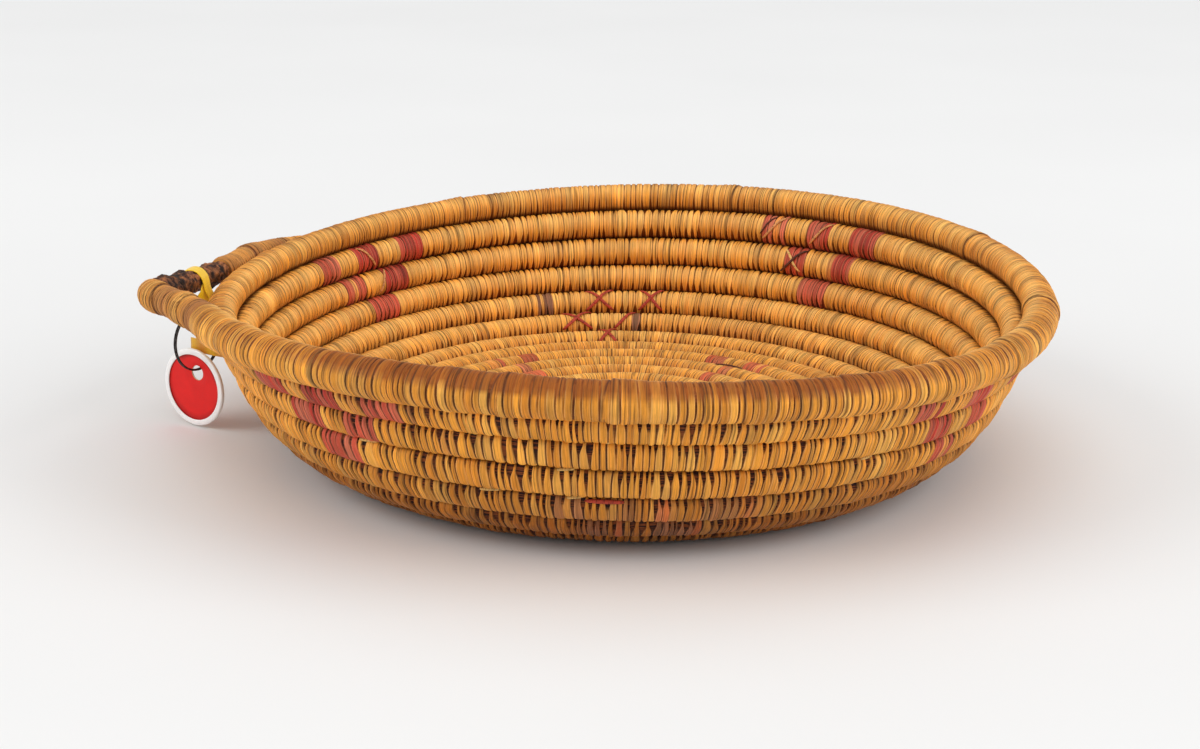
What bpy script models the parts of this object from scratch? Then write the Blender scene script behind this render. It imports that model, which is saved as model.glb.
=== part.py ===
"""Coiled grass basket bowl with a loop handle, a ribbon, a split ring and a round tag.

The basket is one grass coil that spirals out from a start knot, up the wall and round the rim,
and then leaves the rim as a loop handle. Splints wrap the coil, course by course. A yellow
ribbon goes round the bare part of the handle and holds a split ring with a metal-rimmed tag.

Sizes are in millimetres and degrees. The model is in metres, with +Z up and the origin under
the middle of the base, on the surface that the basket stands on.
"""

import math

import bmesh
import bpy
from mathutils import Matrix, Vector

MM = 0.001

# Basket: the coil's turns are counted inwards from the rim's root, where the handle begins
RIM_RADIUS = 165.0
ROOT_ANGLE = 203.0
COURSE_PITCH = 12.2
RIM_WRAP_RADIUS = 6.5
WALL_SLOPES = (44.0, 62.0, 69.5, 60.5, 50.0, 33.0, 21.0, 0.0)
START_RADIUS = 20.0

# Unevenness of the rim, which no hand-made bowl lacks: how much, and where it is highest
RIM_LEAN = 3.0
RIM_LEAN_ANGLE = 40.0
RIM_SADDLE = 2.8
RIM_SADDLE_ANGLE = 71.0
RIM_RIPPLE = 0.7
RIM_RIPPLE_ANGLE = 21.0

# Wrapping and clearances
WRAP_THICKNESS = 1.1
CORE_CLEARANCE = 0.35
SEAT_GAP = 0.3

# Points round one turn of the coil, and the turns that have them
TURN_POINTS = 24
CENTRE_POINTS = 12
WALL_TURNS = 7
OUTER_BASE_TURNS = 6
SECTION_ANGLES = (0.0, 60.0, 120.0, 180.0, 240.0, 300.0)

# Handle: angle, distance outside the rim's radius, height against the rim at its root
HANDLE_ROUTE = (
    (200.6, 1.4, 0.1),
    (197.4, 4.0, 0.1),
    (194.4, 7.6, 0.1),
    (191.9, 11.3, 0.1),
    (190.0, 15.2, 0.2),
    (188.2, 17.1, 0.1),
    (186.0, 14.7, -0.4),
    (183.0, 10.6, -1.5),
    (178.0, 7.6, -3.3),
    (172.0, 5.9, -5.5),
)
HANDLE_LANDING = ((165.0, 1.7), (160.0, 1.9), (155.0, 1.2), (150.5, -0.4), (146.5, -1.6))
HANDLE_POINTS = 40
HANDLE_WRAP_RADIUS = 5.5
HANDLE_BARE_RADIUS = 4.5
HANDLE_END_RADIUS = 2.5
HANDLE_BARE_FROM = 187.5
HANDLE_BARE_TO = 168.0

# Ribbon
RIBBON_WIDTH = 5.6
RIBBON_THICKNESS = 0.5
RIBBON_ANGLE = 176.6
RIBBON_HANG = 10.3
RIBBON_INWARD = 2.7
RIBBON_FORWARD = 5.2
RIBBON_LEAN_FROM = 2.0
RIBBON_LAP_POINTS = 3
RIBBON_TAIL = ((8.3, -5.7, -12.3), (10.5, -7.8, -18.5), (12.9, -9.0, -23.4), (14.7, -10.6, -25.7),
               (13.1, -9.6, -26.3), (5.9, -5.3, -26.3), (-1.9, -0.2, -26.1))

# Split ring
RING_OUTER_RADIUS = 13.0
RING_WIDTH = 1.2
RING_DEPTH = 1.9
RING_GROOVE = 0.15
RING_HEADING = 236.4
RING_STEPS = 32

# Tag
TAG_RADIUS = 16.0
TAG_RIM_WIDTH = 2.4
TAG_RIM_SKIN = 0.3
TAG_CARD_THICKNESS = 0.6
TAG_CARD_GAP = 0.25
TAG_HOLE_RADIUS = 3.0
TAG_HOLE_OFFSET = 6.8
TAG_TURN = 20.0
TAG_STEPS = 40

# Colours and finishes: colour, roughness, metallic
FINISHES = {
    "wrapped_grass": ((0.55, 0.30, 0.10), 0.62, 0.0),
    "bare_grass": ((0.13, 0.06, 0.03), 0.80, 0.0),
    "yellow_ribbon": ((0.93, 0.66, 0.04), 0.45, 0.0),
    "ring_steel": ((0.35, 0.34, 0.33), 0.30, 1.0),
    "tag_red": ((0.68, 0.03, 0.02), 0.55, 0.0),
    "tag_metal": ((0.82, 0.82, 0.80), 0.35, 1.0),
}


def clear_scene():
    """Remove every object that the scene starts with."""
    for item in list(bpy.data.objects):
        bpy.data.objects.remove(item, do_unlink=True)


def finish_material(name):
    """Make the Principled material for one finish."""
    colour, roughness, metallic = FINISHES[name]
    material = bpy.data.materials.get(name) or bpy.data.materials.new(name)
    material.use_nodes = True
    shader = material.node_tree.nodes["Principled BSDF"]
    shader.inputs["Base Color"].default_value = (*colour, 1.0)
    shader.inputs["Roughness"].default_value = roughness
    shader.inputs["Metallic"].default_value = metallic
    return material


def blend(low, high, share):
    """Mix two numbers with a smooth step."""
    share = min(max(share, 0.0), 1.0)
    return low + (high - low) * share * share * (3.0 - 2.0 * share)


# Profile of the basket


def slope_at(turn):
    """Slope of the wall against the floor, in radians, at a turn counted from the rim's root."""
    place = turn - 1.5
    low = min(max(int(math.floor(place)), 0), len(WALL_SLOPES) - 1)
    high = min(low + 1, len(WALL_SLOPES) - 1)
    share = min(max(place - low, 0.0), 1.0)
    return math.radians(WALL_SLOPES[low] * (1.0 - share) + WALL_SLOPES[high] * share)


def walk_profile(last_turn=18.0, steps_per_turn=40):
    """Follow the profile from the rim down the wall and in along the base."""
    radius, height, places = RIM_RADIUS, 0.0, [(RIM_RADIUS, 0.0)]
    rim_extra = RIM_WRAP_RADIUS - (COURSE_PITCH - SEAT_GAP) / 2.0
    for step in range(int((last_turn - 1.0) * steps_per_turn)):
        turn = 1.0 + (step + 0.5) / steps_per_turn
        pitch = COURSE_PITCH + (rim_extra if turn < 2.0 else 0.0)
        slope = slope_at(turn)
        radius -= pitch * math.cos(slope) / steps_per_turn
        height -= pitch * math.sin(slope) / steps_per_turn
        places.append((radius, height))
    return places, steps_per_turn


PROFILE, PROFILE_STEPS = walk_profile()
BASE_DROP = PROFILE[-1][1]
HEEL_DROP = PROFILE[int((WALL_TURNS - 1) * PROFILE_STEPS)][1]
FLAT_SIDE = math.sin(math.radians(SECTION_ANGLES[1]))
ROOT_HEIGHT = -BASE_DROP + (COURSE_PITCH - SEAT_GAP) / 2.0 * FLAT_SIDE


def profile_at(turn):
    """Radius and height of the coil's centre line, before the rim's lean, at a turn."""
    place = min(max((turn - 1.0) * PROFILE_STEPS, 0.0), len(PROFILE) - 1.001)
    low = int(place)
    share = place - low
    return tuple(a * (1.0 - share) + b * share for a, b in zip(PROFILE[low], PROFILE[low + 1]))


def rim_sway(angle, height):
    """Lift of the wall at an angle, full at the rim and nothing at the heel."""
    share = min(max(1.0 - height / HEEL_DROP, 0.0), 1.0)
    lean = RIM_LEAN * math.cos(math.radians(angle - RIM_LEAN_ANGLE))
    saddle = RIM_SADDLE * math.cos(2.0 * math.radians(angle - RIM_SADDLE_ANGLE))
    ripple = RIM_RIPPLE * math.cos(3.0 * math.radians(angle - RIM_RIPPLE_ANGLE))
    return share * (lean + saddle + ripple)


def angle_at(turn):
    """Angle round the basket, in degrees, at a turn."""
    return ROOT_ANGLE + (turn - 1.0) * 360.0


def coil_place(turn):
    """Centre of the coil at a turn."""
    radius, height = profile_at(turn)
    angle = math.radians(angle_at(turn))
    lift = height + rim_sway(angle_at(turn), height) + ROOT_HEIGHT
    return Vector((radius * math.cos(angle), radius * math.sin(angle), lift))


def course_distance(turn):
    """Distance from the coil at a turn to the coil one turn further in."""
    return (coil_place(turn) - coil_place(turn + 1.0)).length


def wrap_radius(turn):
    """Radius of the wrapped coil, which fills the space between its neighbours."""
    inner = (course_distance(turn) - SEAT_GAP) / 2.0
    if turn >= 2.0:
        return min(inner, (course_distance(turn - 1.0) - SEAT_GAP) / 2.0)
    return course_distance(turn) - SEAT_GAP - wrap_radius(turn + 1.0)


def last_turn():
    """Turn at which the coil reaches the start knot."""
    steps = (1 + WALL_TURNS) * CENTRE_POINTS
    while profile_at(steps / CENTRE_POINTS)[0] > START_RADIUS:
        steps += 1
    return steps / CENTRE_POINTS


def coil_frame(turn):
    """Directions across the coil: along the wall to the course above, and outwards."""
    slope = slope_at(turn)
    angle = math.radians(angle_at(turn))
    level = Vector((math.cos(angle), math.sin(angle), 0.0))
    along = level * math.cos(slope) + Vector((0.0, 0.0, math.sin(slope)))
    outward = level * math.sin(slope) - Vector((0.0, 0.0, math.cos(slope)))
    return along, outward


# Handle


def smooth_route(knots, count):
    """Points on a Catmull-Rom curve through the knots."""
    ends = [knots[0] * 2.0 - knots[1]] + knots + [knots[-1] * 2.0 - knots[-2]]
    route = []
    for step in range(count):
        place = step * (len(knots) - 1) / (count - 1)
        low = min(int(place), len(knots) - 2)
        t = place - low
        a, b, c, d = ends[low:low + 4]
        route.append(0.5 * (2.0 * b + (c - a) * t + (2.0 * a - 5.0 * b + 4.0 * c - d) * t * t
                            + (3.0 * b - a - 3.0 * c + d) * t ** 3))
    return route


def polar(angle, radius, height):
    """Point at an angle and a radius from the basket's axis."""
    angle = math.radians(angle)
    return Vector((radius * math.cos(angle), radius * math.sin(angle), height))


def handle_radius(angle):
    """Radius of the wrapped handle at an angle round the basket."""
    landing, end = HANDLE_LANDING[0][0], HANDLE_LANDING[-1][0]
    if angle > landing:
        return blend(HANDLE_WRAP_RADIUS, wrap_radius(1.0), (angle - HANDLE_BARE_FROM - 4.0) / 12.0)
    return blend(HANDLE_END_RADIUS + WRAP_THICKNESS + CORE_CLEARANCE, HANDLE_WRAP_RADIUS,
                 (angle - end) / (landing - end))


def handle_knots():
    """Points that the handle's centre line goes through, from the rim's root to its end."""
    root = coil_place(1.0)
    knots = [root]
    for angle, reach, rise in HANDLE_ROUTE:
        knots.append(polar(angle, RIM_RADIUS + reach, root.z + rise))
    for angle, rise in HANDLE_LANDING:
        turn = 2.0 - (ROOT_ANGLE - angle) / 360.0
        beside = coil_place(turn)
        reach = wrap_radius(turn) + handle_radius(angle) + SEAT_GAP
        level = math.sqrt(reach ** 2 - rise ** 2)
        knots.append(polar(angle, math.hypot(beside.x, beside.y) + level, beside.z + rise))
    return knots


def handle_stations():
    """Centre, angle and directions across the handle at each of its points."""
    route = smooth_route(handle_knots(), HANDLE_POINTS)
    stations = []
    root_along, root_outward = coil_frame(1.0)
    for number, place in enumerate(route):
        after = route[min(number + 1, len(route) - 1)]
        before = route[max(number - 1, 0)]
        tangent = (after - before).normalized()
        level = tangent.cross(Vector((0.0, 0.0, 1.0))).normalized()
        if level.dot(Vector((place.x, place.y, 0.0))) < 0.0:
            level.negate()
        slope = blend(slope_at(1.0), 0.0, number / 12.0)
        along = level * math.cos(slope) + Vector((0.0, 0.0, math.sin(slope)))
        outward = level * math.sin(slope) - Vector((0.0, 0.0, math.cos(slope)))
        angle = math.degrees(math.atan2(place.y, place.x)) % 360.0
        if number == 0:
            along, outward = root_along, root_outward
        stations.append((place, angle, along, outward))
    return stations


# Lofted solids


def section_ring(place, along, outward, radius):
    """Corners of the coil's cross-section round one centre."""
    ring = []
    for corner in SECTION_ANGLES:
        turn = math.radians(corner)
        point = place + (along * math.cos(turn) + outward * math.sin(turn)) * radius
        point.z = max(point.z, 0.0)
        ring.append(point)
    return ring


def add_object(name, mesh_builder, finish, origin=None, smooth_angle=35.0):
    """Make a named object from a mesh builder, in metres, with its finish and origin."""
    origin = origin or Vector((0.0, 0.0, 0.0))
    bmesh.ops.recalc_face_normals(mesh_builder, faces=mesh_builder.faces)
    if mesh_builder.calc_volume(signed=True) < 0.0:
        bmesh.ops.reverse_faces(mesh_builder, faces=mesh_builder.faces)
    bmesh.ops.translate(mesh_builder, verts=mesh_builder.verts, vec=-origin)
    bmesh.ops.scale(mesh_builder, verts=mesh_builder.verts, vec=(MM, MM, MM))
    mesh = bpy.data.meshes.new(name)
    mesh_builder.to_mesh(mesh)
    mesh_builder.free()
    mesh.shade_smooth()
    mesh.set_sharp_from_angle(angle=math.radians(smooth_angle))
    mesh.materials.append(finish_material(finish))
    item = bpy.data.objects.new(name, mesh)
    item.location = origin * MM
    bpy.context.collection.objects.link(item)
    return item


def skin(builder, rings, closed=False):
    """Join a row of rings of corners with faces, and return their vertices."""
    rows = [[builder.verts.new(point) for point in ring] for ring in rings]
    pairs = list(zip(rows[:-1], rows[1:]))
    if closed:
        pairs.append((rows[-1], rows[0]))
    for first, second in pairs:
        for number in range(len(first)):
            after = (number + 1) % len(first)
            builder.faces.new((first[number], first[after], second[after], second[number]))
    return rows


def tube(rings):
    """Solid tube through the rings, with flat ends."""
    builder = bmesh.new()
    rows = skin(builder, rings)
    builder.faces.new(rows[0])
    builder.faces.new(rows[-1])
    return builder


def sleeve(outer, inner):
    """Hollow tube between outer and inner rings, open at both ends."""
    builder = bmesh.new()
    outside = skin(builder, outer)
    inside = skin(builder, inner)
    for end in (0, -1):
        for number in range(len(SECTION_ANGLES)):
            after = (number + 1) % len(SECTION_ANGLES)
            builder.faces.new((outside[end][number], outside[end][after],
                               inside[end][after], inside[end][number]))
    return builder


def points_in_turn(turn):
    """Number of points round the turn that begins at this turn."""
    if turn < 1 + WALL_TURNS + OUTER_BASE_TURNS:
        return TURN_POINTS
    return CENTRE_POINTS


def turns_between(first, last):
    """Turn values of the coil's points from one turn to another."""
    values = [first]
    whole = int(math.floor(first))
    while whole < last:
        count = points_in_turn(whole)
        for step in range(count):
            value = whole + step / count
            if first + 0.4 / count < value < last - 0.4 / count:
                values.append(value)
        whole += 1
    values.append(last)
    return values


def build_foundation(coil_end, stations):
    """One unbroken tube of grass from the start knot to the end of the handle."""
    rings, centres = [], []
    for turn in reversed(turns_between(1.0, coil_end)[1:]):
        along, outward = coil_frame(turn)
        radius = wrap_radius(turn) - WRAP_THICKNESS - CORE_CLEARANCE
        centres.append((coil_place(turn), radius))
        rings.append(section_ring(coil_place(turn), along, outward, radius))
    for place, angle, along, outward in stations:
        bare = HANDLE_BARE_TO < angle < HANDLE_BARE_FROM
        radius = handle_radius(angle) - WRAP_THICKNESS - CORE_CLEARANCE
        if bare:
            radius = HANDLE_BARE_RADIUS
        centres.append((place, radius))
        rings.append(section_ring(place, along, outward, radius))
    add_object("foundation_coil", tube(rings), "bare_grass")
    report_least_gap(centres)


def report_least_gap(centres):
    """Print the least gap between the coil's turns, measured between its points."""
    least = math.inf
    for number, (place, radius) in enumerate(centres):
        for other, width in centres[number + 8:]:
            least = min(least, (place - other).length - radius - width)
    print(f"Least gap of the foundation coil to itself: {least:.2f} mm")


def build_course_wraps(coil_end):
    """Wrapping of each course, as a sleeve that turns once round the basket."""
    names = ["rim_wrap"]
    names += [f"wall_wrap_{number}" for number in range(1, WALL_TURNS)]
    names += [f"base_wrap_{number}" for number in range(1, int(math.ceil(coil_end)) - WALL_TURNS)]
    for number, name in enumerate(names):
        first = 1.0 + number
        last = min(first + 1.0, coil_end)
        joint = SEAT_GAP / 2.0 / (2.0 * math.pi * profile_at(last)[0])
        values = turns_between(first + joint, last - (joint if last < coil_end else 0.0))
        outer, inner = [], []
        for turn in values:
            along, outward = coil_frame(turn)
            radius = wrap_radius(turn)
            outer.append(section_ring(coil_place(turn), along, outward, radius))
            inner.append(section_ring(coil_place(turn), along, outward, radius - WRAP_THICKNESS))
        add_object(name, sleeve(outer, inner), "wrapped_grass")


def build_handle_wrap(name, stations, first_gap=0.0):
    """Wrapping of one stretch of the handle, which may start a little past its first point."""
    outer, inner = [], []
    for number, (place, angle, along, outward) in enumerate(stations):
        if number == 0 and first_gap:
            step = (stations[1][0] - place).normalized()
            place = place + step * first_gap
        radius = handle_radius(angle)
        outer.append(section_ring(place, along, outward, radius))
        inner.append(section_ring(place, along, outward, radius - WRAP_THICKNESS))
    add_object(name, sleeve(outer, inner), "wrapped_grass")


def build_start_knot(coil_end):
    """Snail-shaped knot that fills the space inside the coil's first turn."""
    builder = bmesh.new()
    room = wrap_radius(coil_end) + SEAT_GAP
    face = math.radians(angle_at(coil_end))
    past_face = Vector((-math.sin(face), math.cos(face), 0.0)) * SEAT_GAP
    turns = [coil_end - 1.0 + step / CENTRE_POINTS for step in range(CENTRE_POINTS + 1)]
    corners = [polar(angle_at(turn), profile_at(turn)[0] - room, 0.0) for turn in turns]
    corners[0] += past_face
    corners[-1] += past_face
    outline = [builder.verts.new(corner) for corner in corners]
    floor = builder.faces.new(outline)
    raised = bmesh.ops.extrude_face_region(builder, geom=[floor])
    top = [item for item in raised["geom"] if isinstance(item, bmesh.types.BMVert)]
    height = coil_place(coil_end).z + wrap_radius(coil_end)
    bmesh.ops.translate(builder, verts=top, vec=(0.0, 0.0, height))
    edges = [edge for edge in builder.edges if all(vert in top for vert in edge.verts)]
    bmesh.ops.bevel(builder, geom=edges, offset=2.2, segments=2, affect="EDGES", profile=0.5)
    add_object("start_knot", builder, "wrapped_grass")


# Ribbon, ring and tag


def heading(angle):
    """Level direction at an angle."""
    return Vector((math.cos(math.radians(angle)), math.sin(math.radians(angle)), 0.0))


def ribbon_anchor(stations):
    """Centre of the bare handle where the ribbon goes round it, and its level direction there."""
    places = [station[0] for station in stations]
    angles = [station[1] for station in stations]
    for number in range(1, len(places)):
        if angles[number] < RIBBON_ANGLE <= angles[number - 1] and angles[number] > 90.0:
            share = (angles[number - 1] - RIBBON_ANGLE) / (angles[number - 1] - angles[number])
            place = places[number - 1].lerp(places[number], share)
            step = places[number] - places[number - 1]
            return place, Vector((step.x, step.y, 0.0)).normalized()
    raise ValueError("the ribbon's angle lies off the handle")


def ribbon_outline():
    """Ribbon's path round the handle, as distance towards the basket and height."""
    hug = HANDLE_BARE_RADIUS + SEAT_GAP + RIBBON_THICKNESS / 2.0
    bend = math.hypot(RING_WIDTH, RING_DEPTH) / 2.0 + 2.0 * SEAT_GAP + RIBBON_THICKNESS / 2.0
    lap = hug + RIBBON_THICKNESS + SEAT_GAP
    path = [(hug, -2.6), (hug * 0.9, -5.2), (hug * 0.6, -7.8)]
    path += [(bend * math.cos(math.radians(turn)), -RIBBON_HANG + bend * math.sin(math.radians(turn)))
             for turn in (0, -45, -90, -135, -180)]
    path += [(-hug * 0.9, -6.4), (-hug * 1.02, -3.0)]
    path += [(hug * math.cos(math.radians(turn)), hug * math.sin(math.radians(turn)))
             for turn in (180, 150, 120, 90, 60, 30)]
    path += [(hug * 1.04, 0.4), (lap, -3.0), (lap, -7.0)]
    return path


def ribbon_lean(height):
    """Share of the ribbon's lean at a height against the handle, full where the ring hangs."""
    return blend(0.0, 1.0, (-height - RIBBON_LEAN_FROM) / (RIBBON_HANG - RIBBON_LEAN_FROM))


def ring_pivot(anchor, along):
    """Centre of the ring's wire where it hangs in the ribbon."""
    inward = along.cross(Vector((0.0, 0.0, 1.0)))
    return anchor + inward * RIBBON_INWARD - along * RIBBON_FORWARD - Vector((0.0, 0.0, RIBBON_HANG))


def build_ribbon(anchor, along):
    """Ribbon round the handle and under the ring, lapped over itself, with its cut tail."""
    up = Vector((0.0, 0.0, 1.0))
    ring_along = -heading(RING_HEADING)
    outline = ribbon_outline()
    places, widths = [], []
    for number, (reach, height) in enumerate(outline):
        lean = ribbon_lean(height)
        slide, twist = lean, blend(0.0, 1.0, (-height - 3.0) / 5.0)
        if number >= len(outline) - RIBBON_LAP_POINTS:
            slide, twist = 0.0, 0.0
        width = along.lerp(ring_along, twist).normalized()
        leant = along.cross(up) * RIBBON_INWARD * lean - along * RIBBON_FORWARD * slide
        places.append(anchor + width.cross(up) * reach + leant + up * height)
        widths.append(width)
    for number, offset in enumerate(RIBBON_TAIL):
        places.append(anchor + Vector(offset))
        widths.append(along.lerp(up, blend(0.0, 1.0, number / 3.0)).normalized())
    rings = []
    for number, place in enumerate(places):
        after = places[min(number + 1, len(places) - 1)]
        before = places[max(number - 1, 0)]
        tangent = (after - before).normalized()
        face = tangent.cross(widths[number]).normalized()
        side = face.cross(tangent).normalized() * RIBBON_WIDTH / 2.0
        half = face * RIBBON_THICKNESS / 2.0
        rings.append([place + side + half, place - side + half, place - side - half, place + side - half])
    add_object("ribbon", tube(rings), "yellow_ribbon")


def build_split_ring(pivot):
    """Split ring of two turns of wire, hanging from the ribbon at its highest point."""
    centre = pivot - Vector((0.0, 0.0, RING_OUTER_RADIUS - RING_WIDTH / 2.0))
    level = heading(RING_HEADING)
    axis = level.cross(Vector((0.0, 0.0, 1.0)))
    half, deep, soft = RING_WIDTH / 2.0, RING_DEPTH / 2.0, RING_GROOVE
    outline = [(-half, -deep + soft), (-half + soft, -deep), (half - soft, -deep), (half, -deep + soft),
               (half, -soft), (half - soft, 0.0), (half, soft),
               (half, deep - soft), (half - soft, deep), (-half + soft, deep), (-half, deep - soft),
               (-half, soft), (-half + soft, 0.0), (-half, -soft)]
    rings = []
    for step in range(RING_STEPS):
        turn = 2.0 * math.pi * (step + 0.5) / RING_STEPS
        spoke = Vector((0.0, 0.0, math.cos(turn))) + level * math.sin(turn)
        reach = RING_OUTER_RADIUS - half
        rings.append([centre + spoke * (reach + out) + axis * side for out, side in outline])
    builder = bmesh.new()
    skin(builder, rings, closed=True)
    return add_object("split_ring", builder, "ring_steel", origin=pivot)


def tag_matrix(pivot):
    """Placement of the tag, which hangs on the wire by its hole and is turned a little about it."""
    wire_room = math.hypot(RING_WIDTH, RING_DEPTH) / 2.0 + SEAT_GAP / 2.0
    face = heading(RING_HEADING)
    up = Vector((0.0, 0.0, 1.0))
    basis = Matrix((up.cross(face), up, face)).transposed().to_4x4()
    turn = Matrix.Rotation(math.radians(-TAG_TURN), 4, "Z")
    drop = Matrix.Translation((0.0, wire_room - TAG_HOLE_RADIUS - TAG_HOLE_OFFSET, 0.0))
    return Matrix.Translation(pivot) @ basis @ turn @ drop


def build_tag(pivot):
    """Card disc with a hole, and the metal rim crimped round its edge."""
    place = tag_matrix(pivot)
    card = bmesh.new()
    card_radius = TAG_RADIUS - TAG_RIM_SKIN - TAG_CARD_GAP
    bmesh.ops.create_cone(card, cap_ends=True, segments=TAG_STEPS, radius1=card_radius,
                          radius2=card_radius, depth=TAG_CARD_THICKNESS, matrix=place)
    card_item = add_object("tag_card", card, "tag_red", origin=pivot)
    cutter = bmesh.new()
    bmesh.ops.create_cone(cutter, cap_ends=True, segments=20, radius1=TAG_HOLE_RADIUS,
                          radius2=TAG_HOLE_RADIUS, depth=TAG_CARD_THICKNESS * 4.0,
                          matrix=place @ Matrix.Translation((0.0, TAG_HOLE_OFFSET, 0.0)))
    cutter_item = add_object("tag_hole_cutter", cutter, "tag_red", origin=pivot)
    cutter_item.hide_render = True
    cutter_item.display_type = "WIRE"
    cut = card_item.modifiers.new("hole", "BOOLEAN")
    cut.operation = "DIFFERENCE"
    cut.solver = "EXACT"
    cut.object = cutter_item
    build_tag_rim(place, pivot)


def build_tag_rim(place, pivot):
    """Metal rim with the groove that holds the card's edge."""
    slot = TAG_CARD_THICKNESS / 2.0 + TAG_CARD_GAP
    out = slot + TAG_RIM_SKIN
    inner = TAG_RADIUS - TAG_RIM_WIDTH
    depth = TAG_RADIUS - TAG_RIM_SKIN
    outline = [(inner, slot), (depth, slot), (depth, -slot), (inner, -slot),
               (inner + 0.2, -out), (TAG_RADIUS - 0.3, -out), (TAG_RADIUS, -out + 0.3),
               (TAG_RADIUS, out - 0.3), (TAG_RADIUS - 0.3, out), (inner + 0.2, out)]
    rings = []
    for step in range(TAG_STEPS):
        turn = 2.0 * math.pi * step / TAG_STEPS
        rings.append([place @ Vector((reach * math.cos(turn), reach * math.sin(turn), height))
                      for reach, height in outline])
    builder = bmesh.new()
    skin(builder, rings, closed=True)
    add_object("tag_rim", builder, "tag_metal", origin=pivot)


def main():
    """Build the whole basket with its handle, ribbon, ring and tag."""
    clear_scene()
    coil_end = last_turn()
    stations = handle_stations()
    build_foundation(coil_end, stations)
    build_course_wraps(coil_end)
    front = [number for number, station in enumerate(stations) if station[1] >= HANDLE_BARE_FROM]
    back = [number for number, station in enumerate(stations) if station[1] <= HANDLE_BARE_TO]
    build_handle_wrap("handle_wrap_front", stations[:front[-1] + 1], first_gap=SEAT_GAP / 2.0)
    build_handle_wrap("handle_wrap_back", stations[back[0]:])
    build_start_knot(coil_end)
    anchor, along = ribbon_anchor(stations)
    build_ribbon(anchor, along)
    pivot = ring_pivot(anchor, along)
    build_split_ring(pivot)
    tag_pivot = pivot - Vector((0.0, 0.0, 2.0 * RING_OUTER_RADIUS - RING_WIDTH))
    build_tag(tag_pivot)
    print("Rim root", [round(value, 2) for value in coil_place(1.0)], "floor", round(ROOT_HEIGHT, 2))
    print("Ring pivot", [round(value, 3) for value in pivot], "tag pivot", [round(value, 3) for value in tag_pivot])
    print("Axis", [round(value, 5) for value in heading(RING_HEADING)])


main()
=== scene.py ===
"""Looks of a coiled grass basket bowl with a loop handle, a ribbon, a split ring and a round tag.

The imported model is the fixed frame, and every piece of it is replaced here by a finer one: the
coil with its splints, dyed blocks, notches and laid straws, the bare stems of the handle, and the
ribbon, ring and tag. Lengths are in millimetres until a mesh is made, and angles are in degrees
counted from +X round the basket.
"""

import logging
import math
from dataclasses import dataclass, field
from enum import Enum, IntEnum
from functools import cached_property

import bpy
import numpy as np
from mathutils import Matrix, Vector


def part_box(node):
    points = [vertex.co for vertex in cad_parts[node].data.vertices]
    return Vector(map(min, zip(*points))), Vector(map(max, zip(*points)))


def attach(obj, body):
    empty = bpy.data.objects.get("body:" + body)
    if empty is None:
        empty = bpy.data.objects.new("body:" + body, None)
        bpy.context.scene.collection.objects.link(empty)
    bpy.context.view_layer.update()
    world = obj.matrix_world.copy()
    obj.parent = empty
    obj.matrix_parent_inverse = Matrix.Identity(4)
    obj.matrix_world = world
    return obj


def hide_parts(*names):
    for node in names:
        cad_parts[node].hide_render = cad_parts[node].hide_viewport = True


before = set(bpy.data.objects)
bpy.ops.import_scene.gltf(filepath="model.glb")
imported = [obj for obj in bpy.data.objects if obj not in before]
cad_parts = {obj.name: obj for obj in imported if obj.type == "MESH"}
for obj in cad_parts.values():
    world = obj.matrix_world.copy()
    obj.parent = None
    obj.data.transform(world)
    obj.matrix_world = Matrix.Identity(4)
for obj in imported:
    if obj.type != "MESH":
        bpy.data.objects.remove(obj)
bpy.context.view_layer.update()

MM = 0.001
UP = np.array((0.0, 0.0, 1.0))
Array = np.ndarray
Colour = tuple[float, float, float]
Material = bpy.types.Material
Socket = bpy.types.NodeSocket

# Sizes that several pieces share, in millimetres, degrees and shares

SPLINT_DEPTH = 1.45
RING_OUTER = 13.0
RING_WIDTH = 1.2
RING_DEPTH = 1.9
RING_HEADING = 236.4
TAG_ROOM_TURN = 0.034
CAP_SHADE = 0.6
CREST_ANGLE = -95.0
CREST_WIDTH = 75.0

log = logging.getLogger("basket")


# Numbers, colours and grids


def smooth(low: float, high: float, value: Array) -> Array:
    """Smooth step of value from 0 at low to 1 at high."""
    share = np.clip((np.asarray(value, float) - low) / (high - low), 0.0, 1.0)
    return share * share * (3.0 - 2.0 * share)


def bump(centre: float, width: float, value: Array) -> Array:
    """Round hill of height 1 at centre, which is nothing a width away."""
    share = np.clip(1.0 - np.abs(np.asarray(value, float) - centre) / width, 0.0, 1.0)
    return share * share * (3.0 - 2.0 * share)


def turned(angle: Array) -> Array:
    """Angle in degrees brought between -180 and 180."""
    return (np.asarray(angle, float) + 180.0) % 360.0 - 180.0


def unit(vectors: Array) -> Array:
    """Vectors brought to length 1."""
    return vectors / np.maximum(np.linalg.norm(vectors, axis=-1, keepdims=True), 1e-12)


def squared(value: Array, exponent: Array | float) -> Array:
    """Value with its size raised to an exponent, which makes a circle's sine or cosine a squarer one."""
    return np.sign(value) * np.abs(value) ** exponent


def level_direction(angle: float) -> Array:
    """Direction of length 1 on the level, at an angle round the basket."""
    bearing = math.radians(angle)
    return np.array((math.cos(bearing), math.sin(bearing), 0.0))


def linear(colour: Colour) -> Array:
    """Display colour, 0 to 255, as linear light."""
    share = np.asarray(colour, float) / 255.0
    return np.where(share <= 0.04045, share / 12.92, ((share + 0.055) / 1.055) ** 2.4)


def mixed(first: Array, second: Array, share: Array) -> Array:
    """Colours mixed point by point.

    Args:
        first: Colours where the share is 0, or one colour.
        second: Colours where the share is 1, or one colour.
        share: Share of the second colour at each point.

    Returns:
        The mixed colours.
    """
    part = np.clip(share, 0.0, 1.0)[..., None]
    return first * (1.0 - part) + second * part


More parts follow.
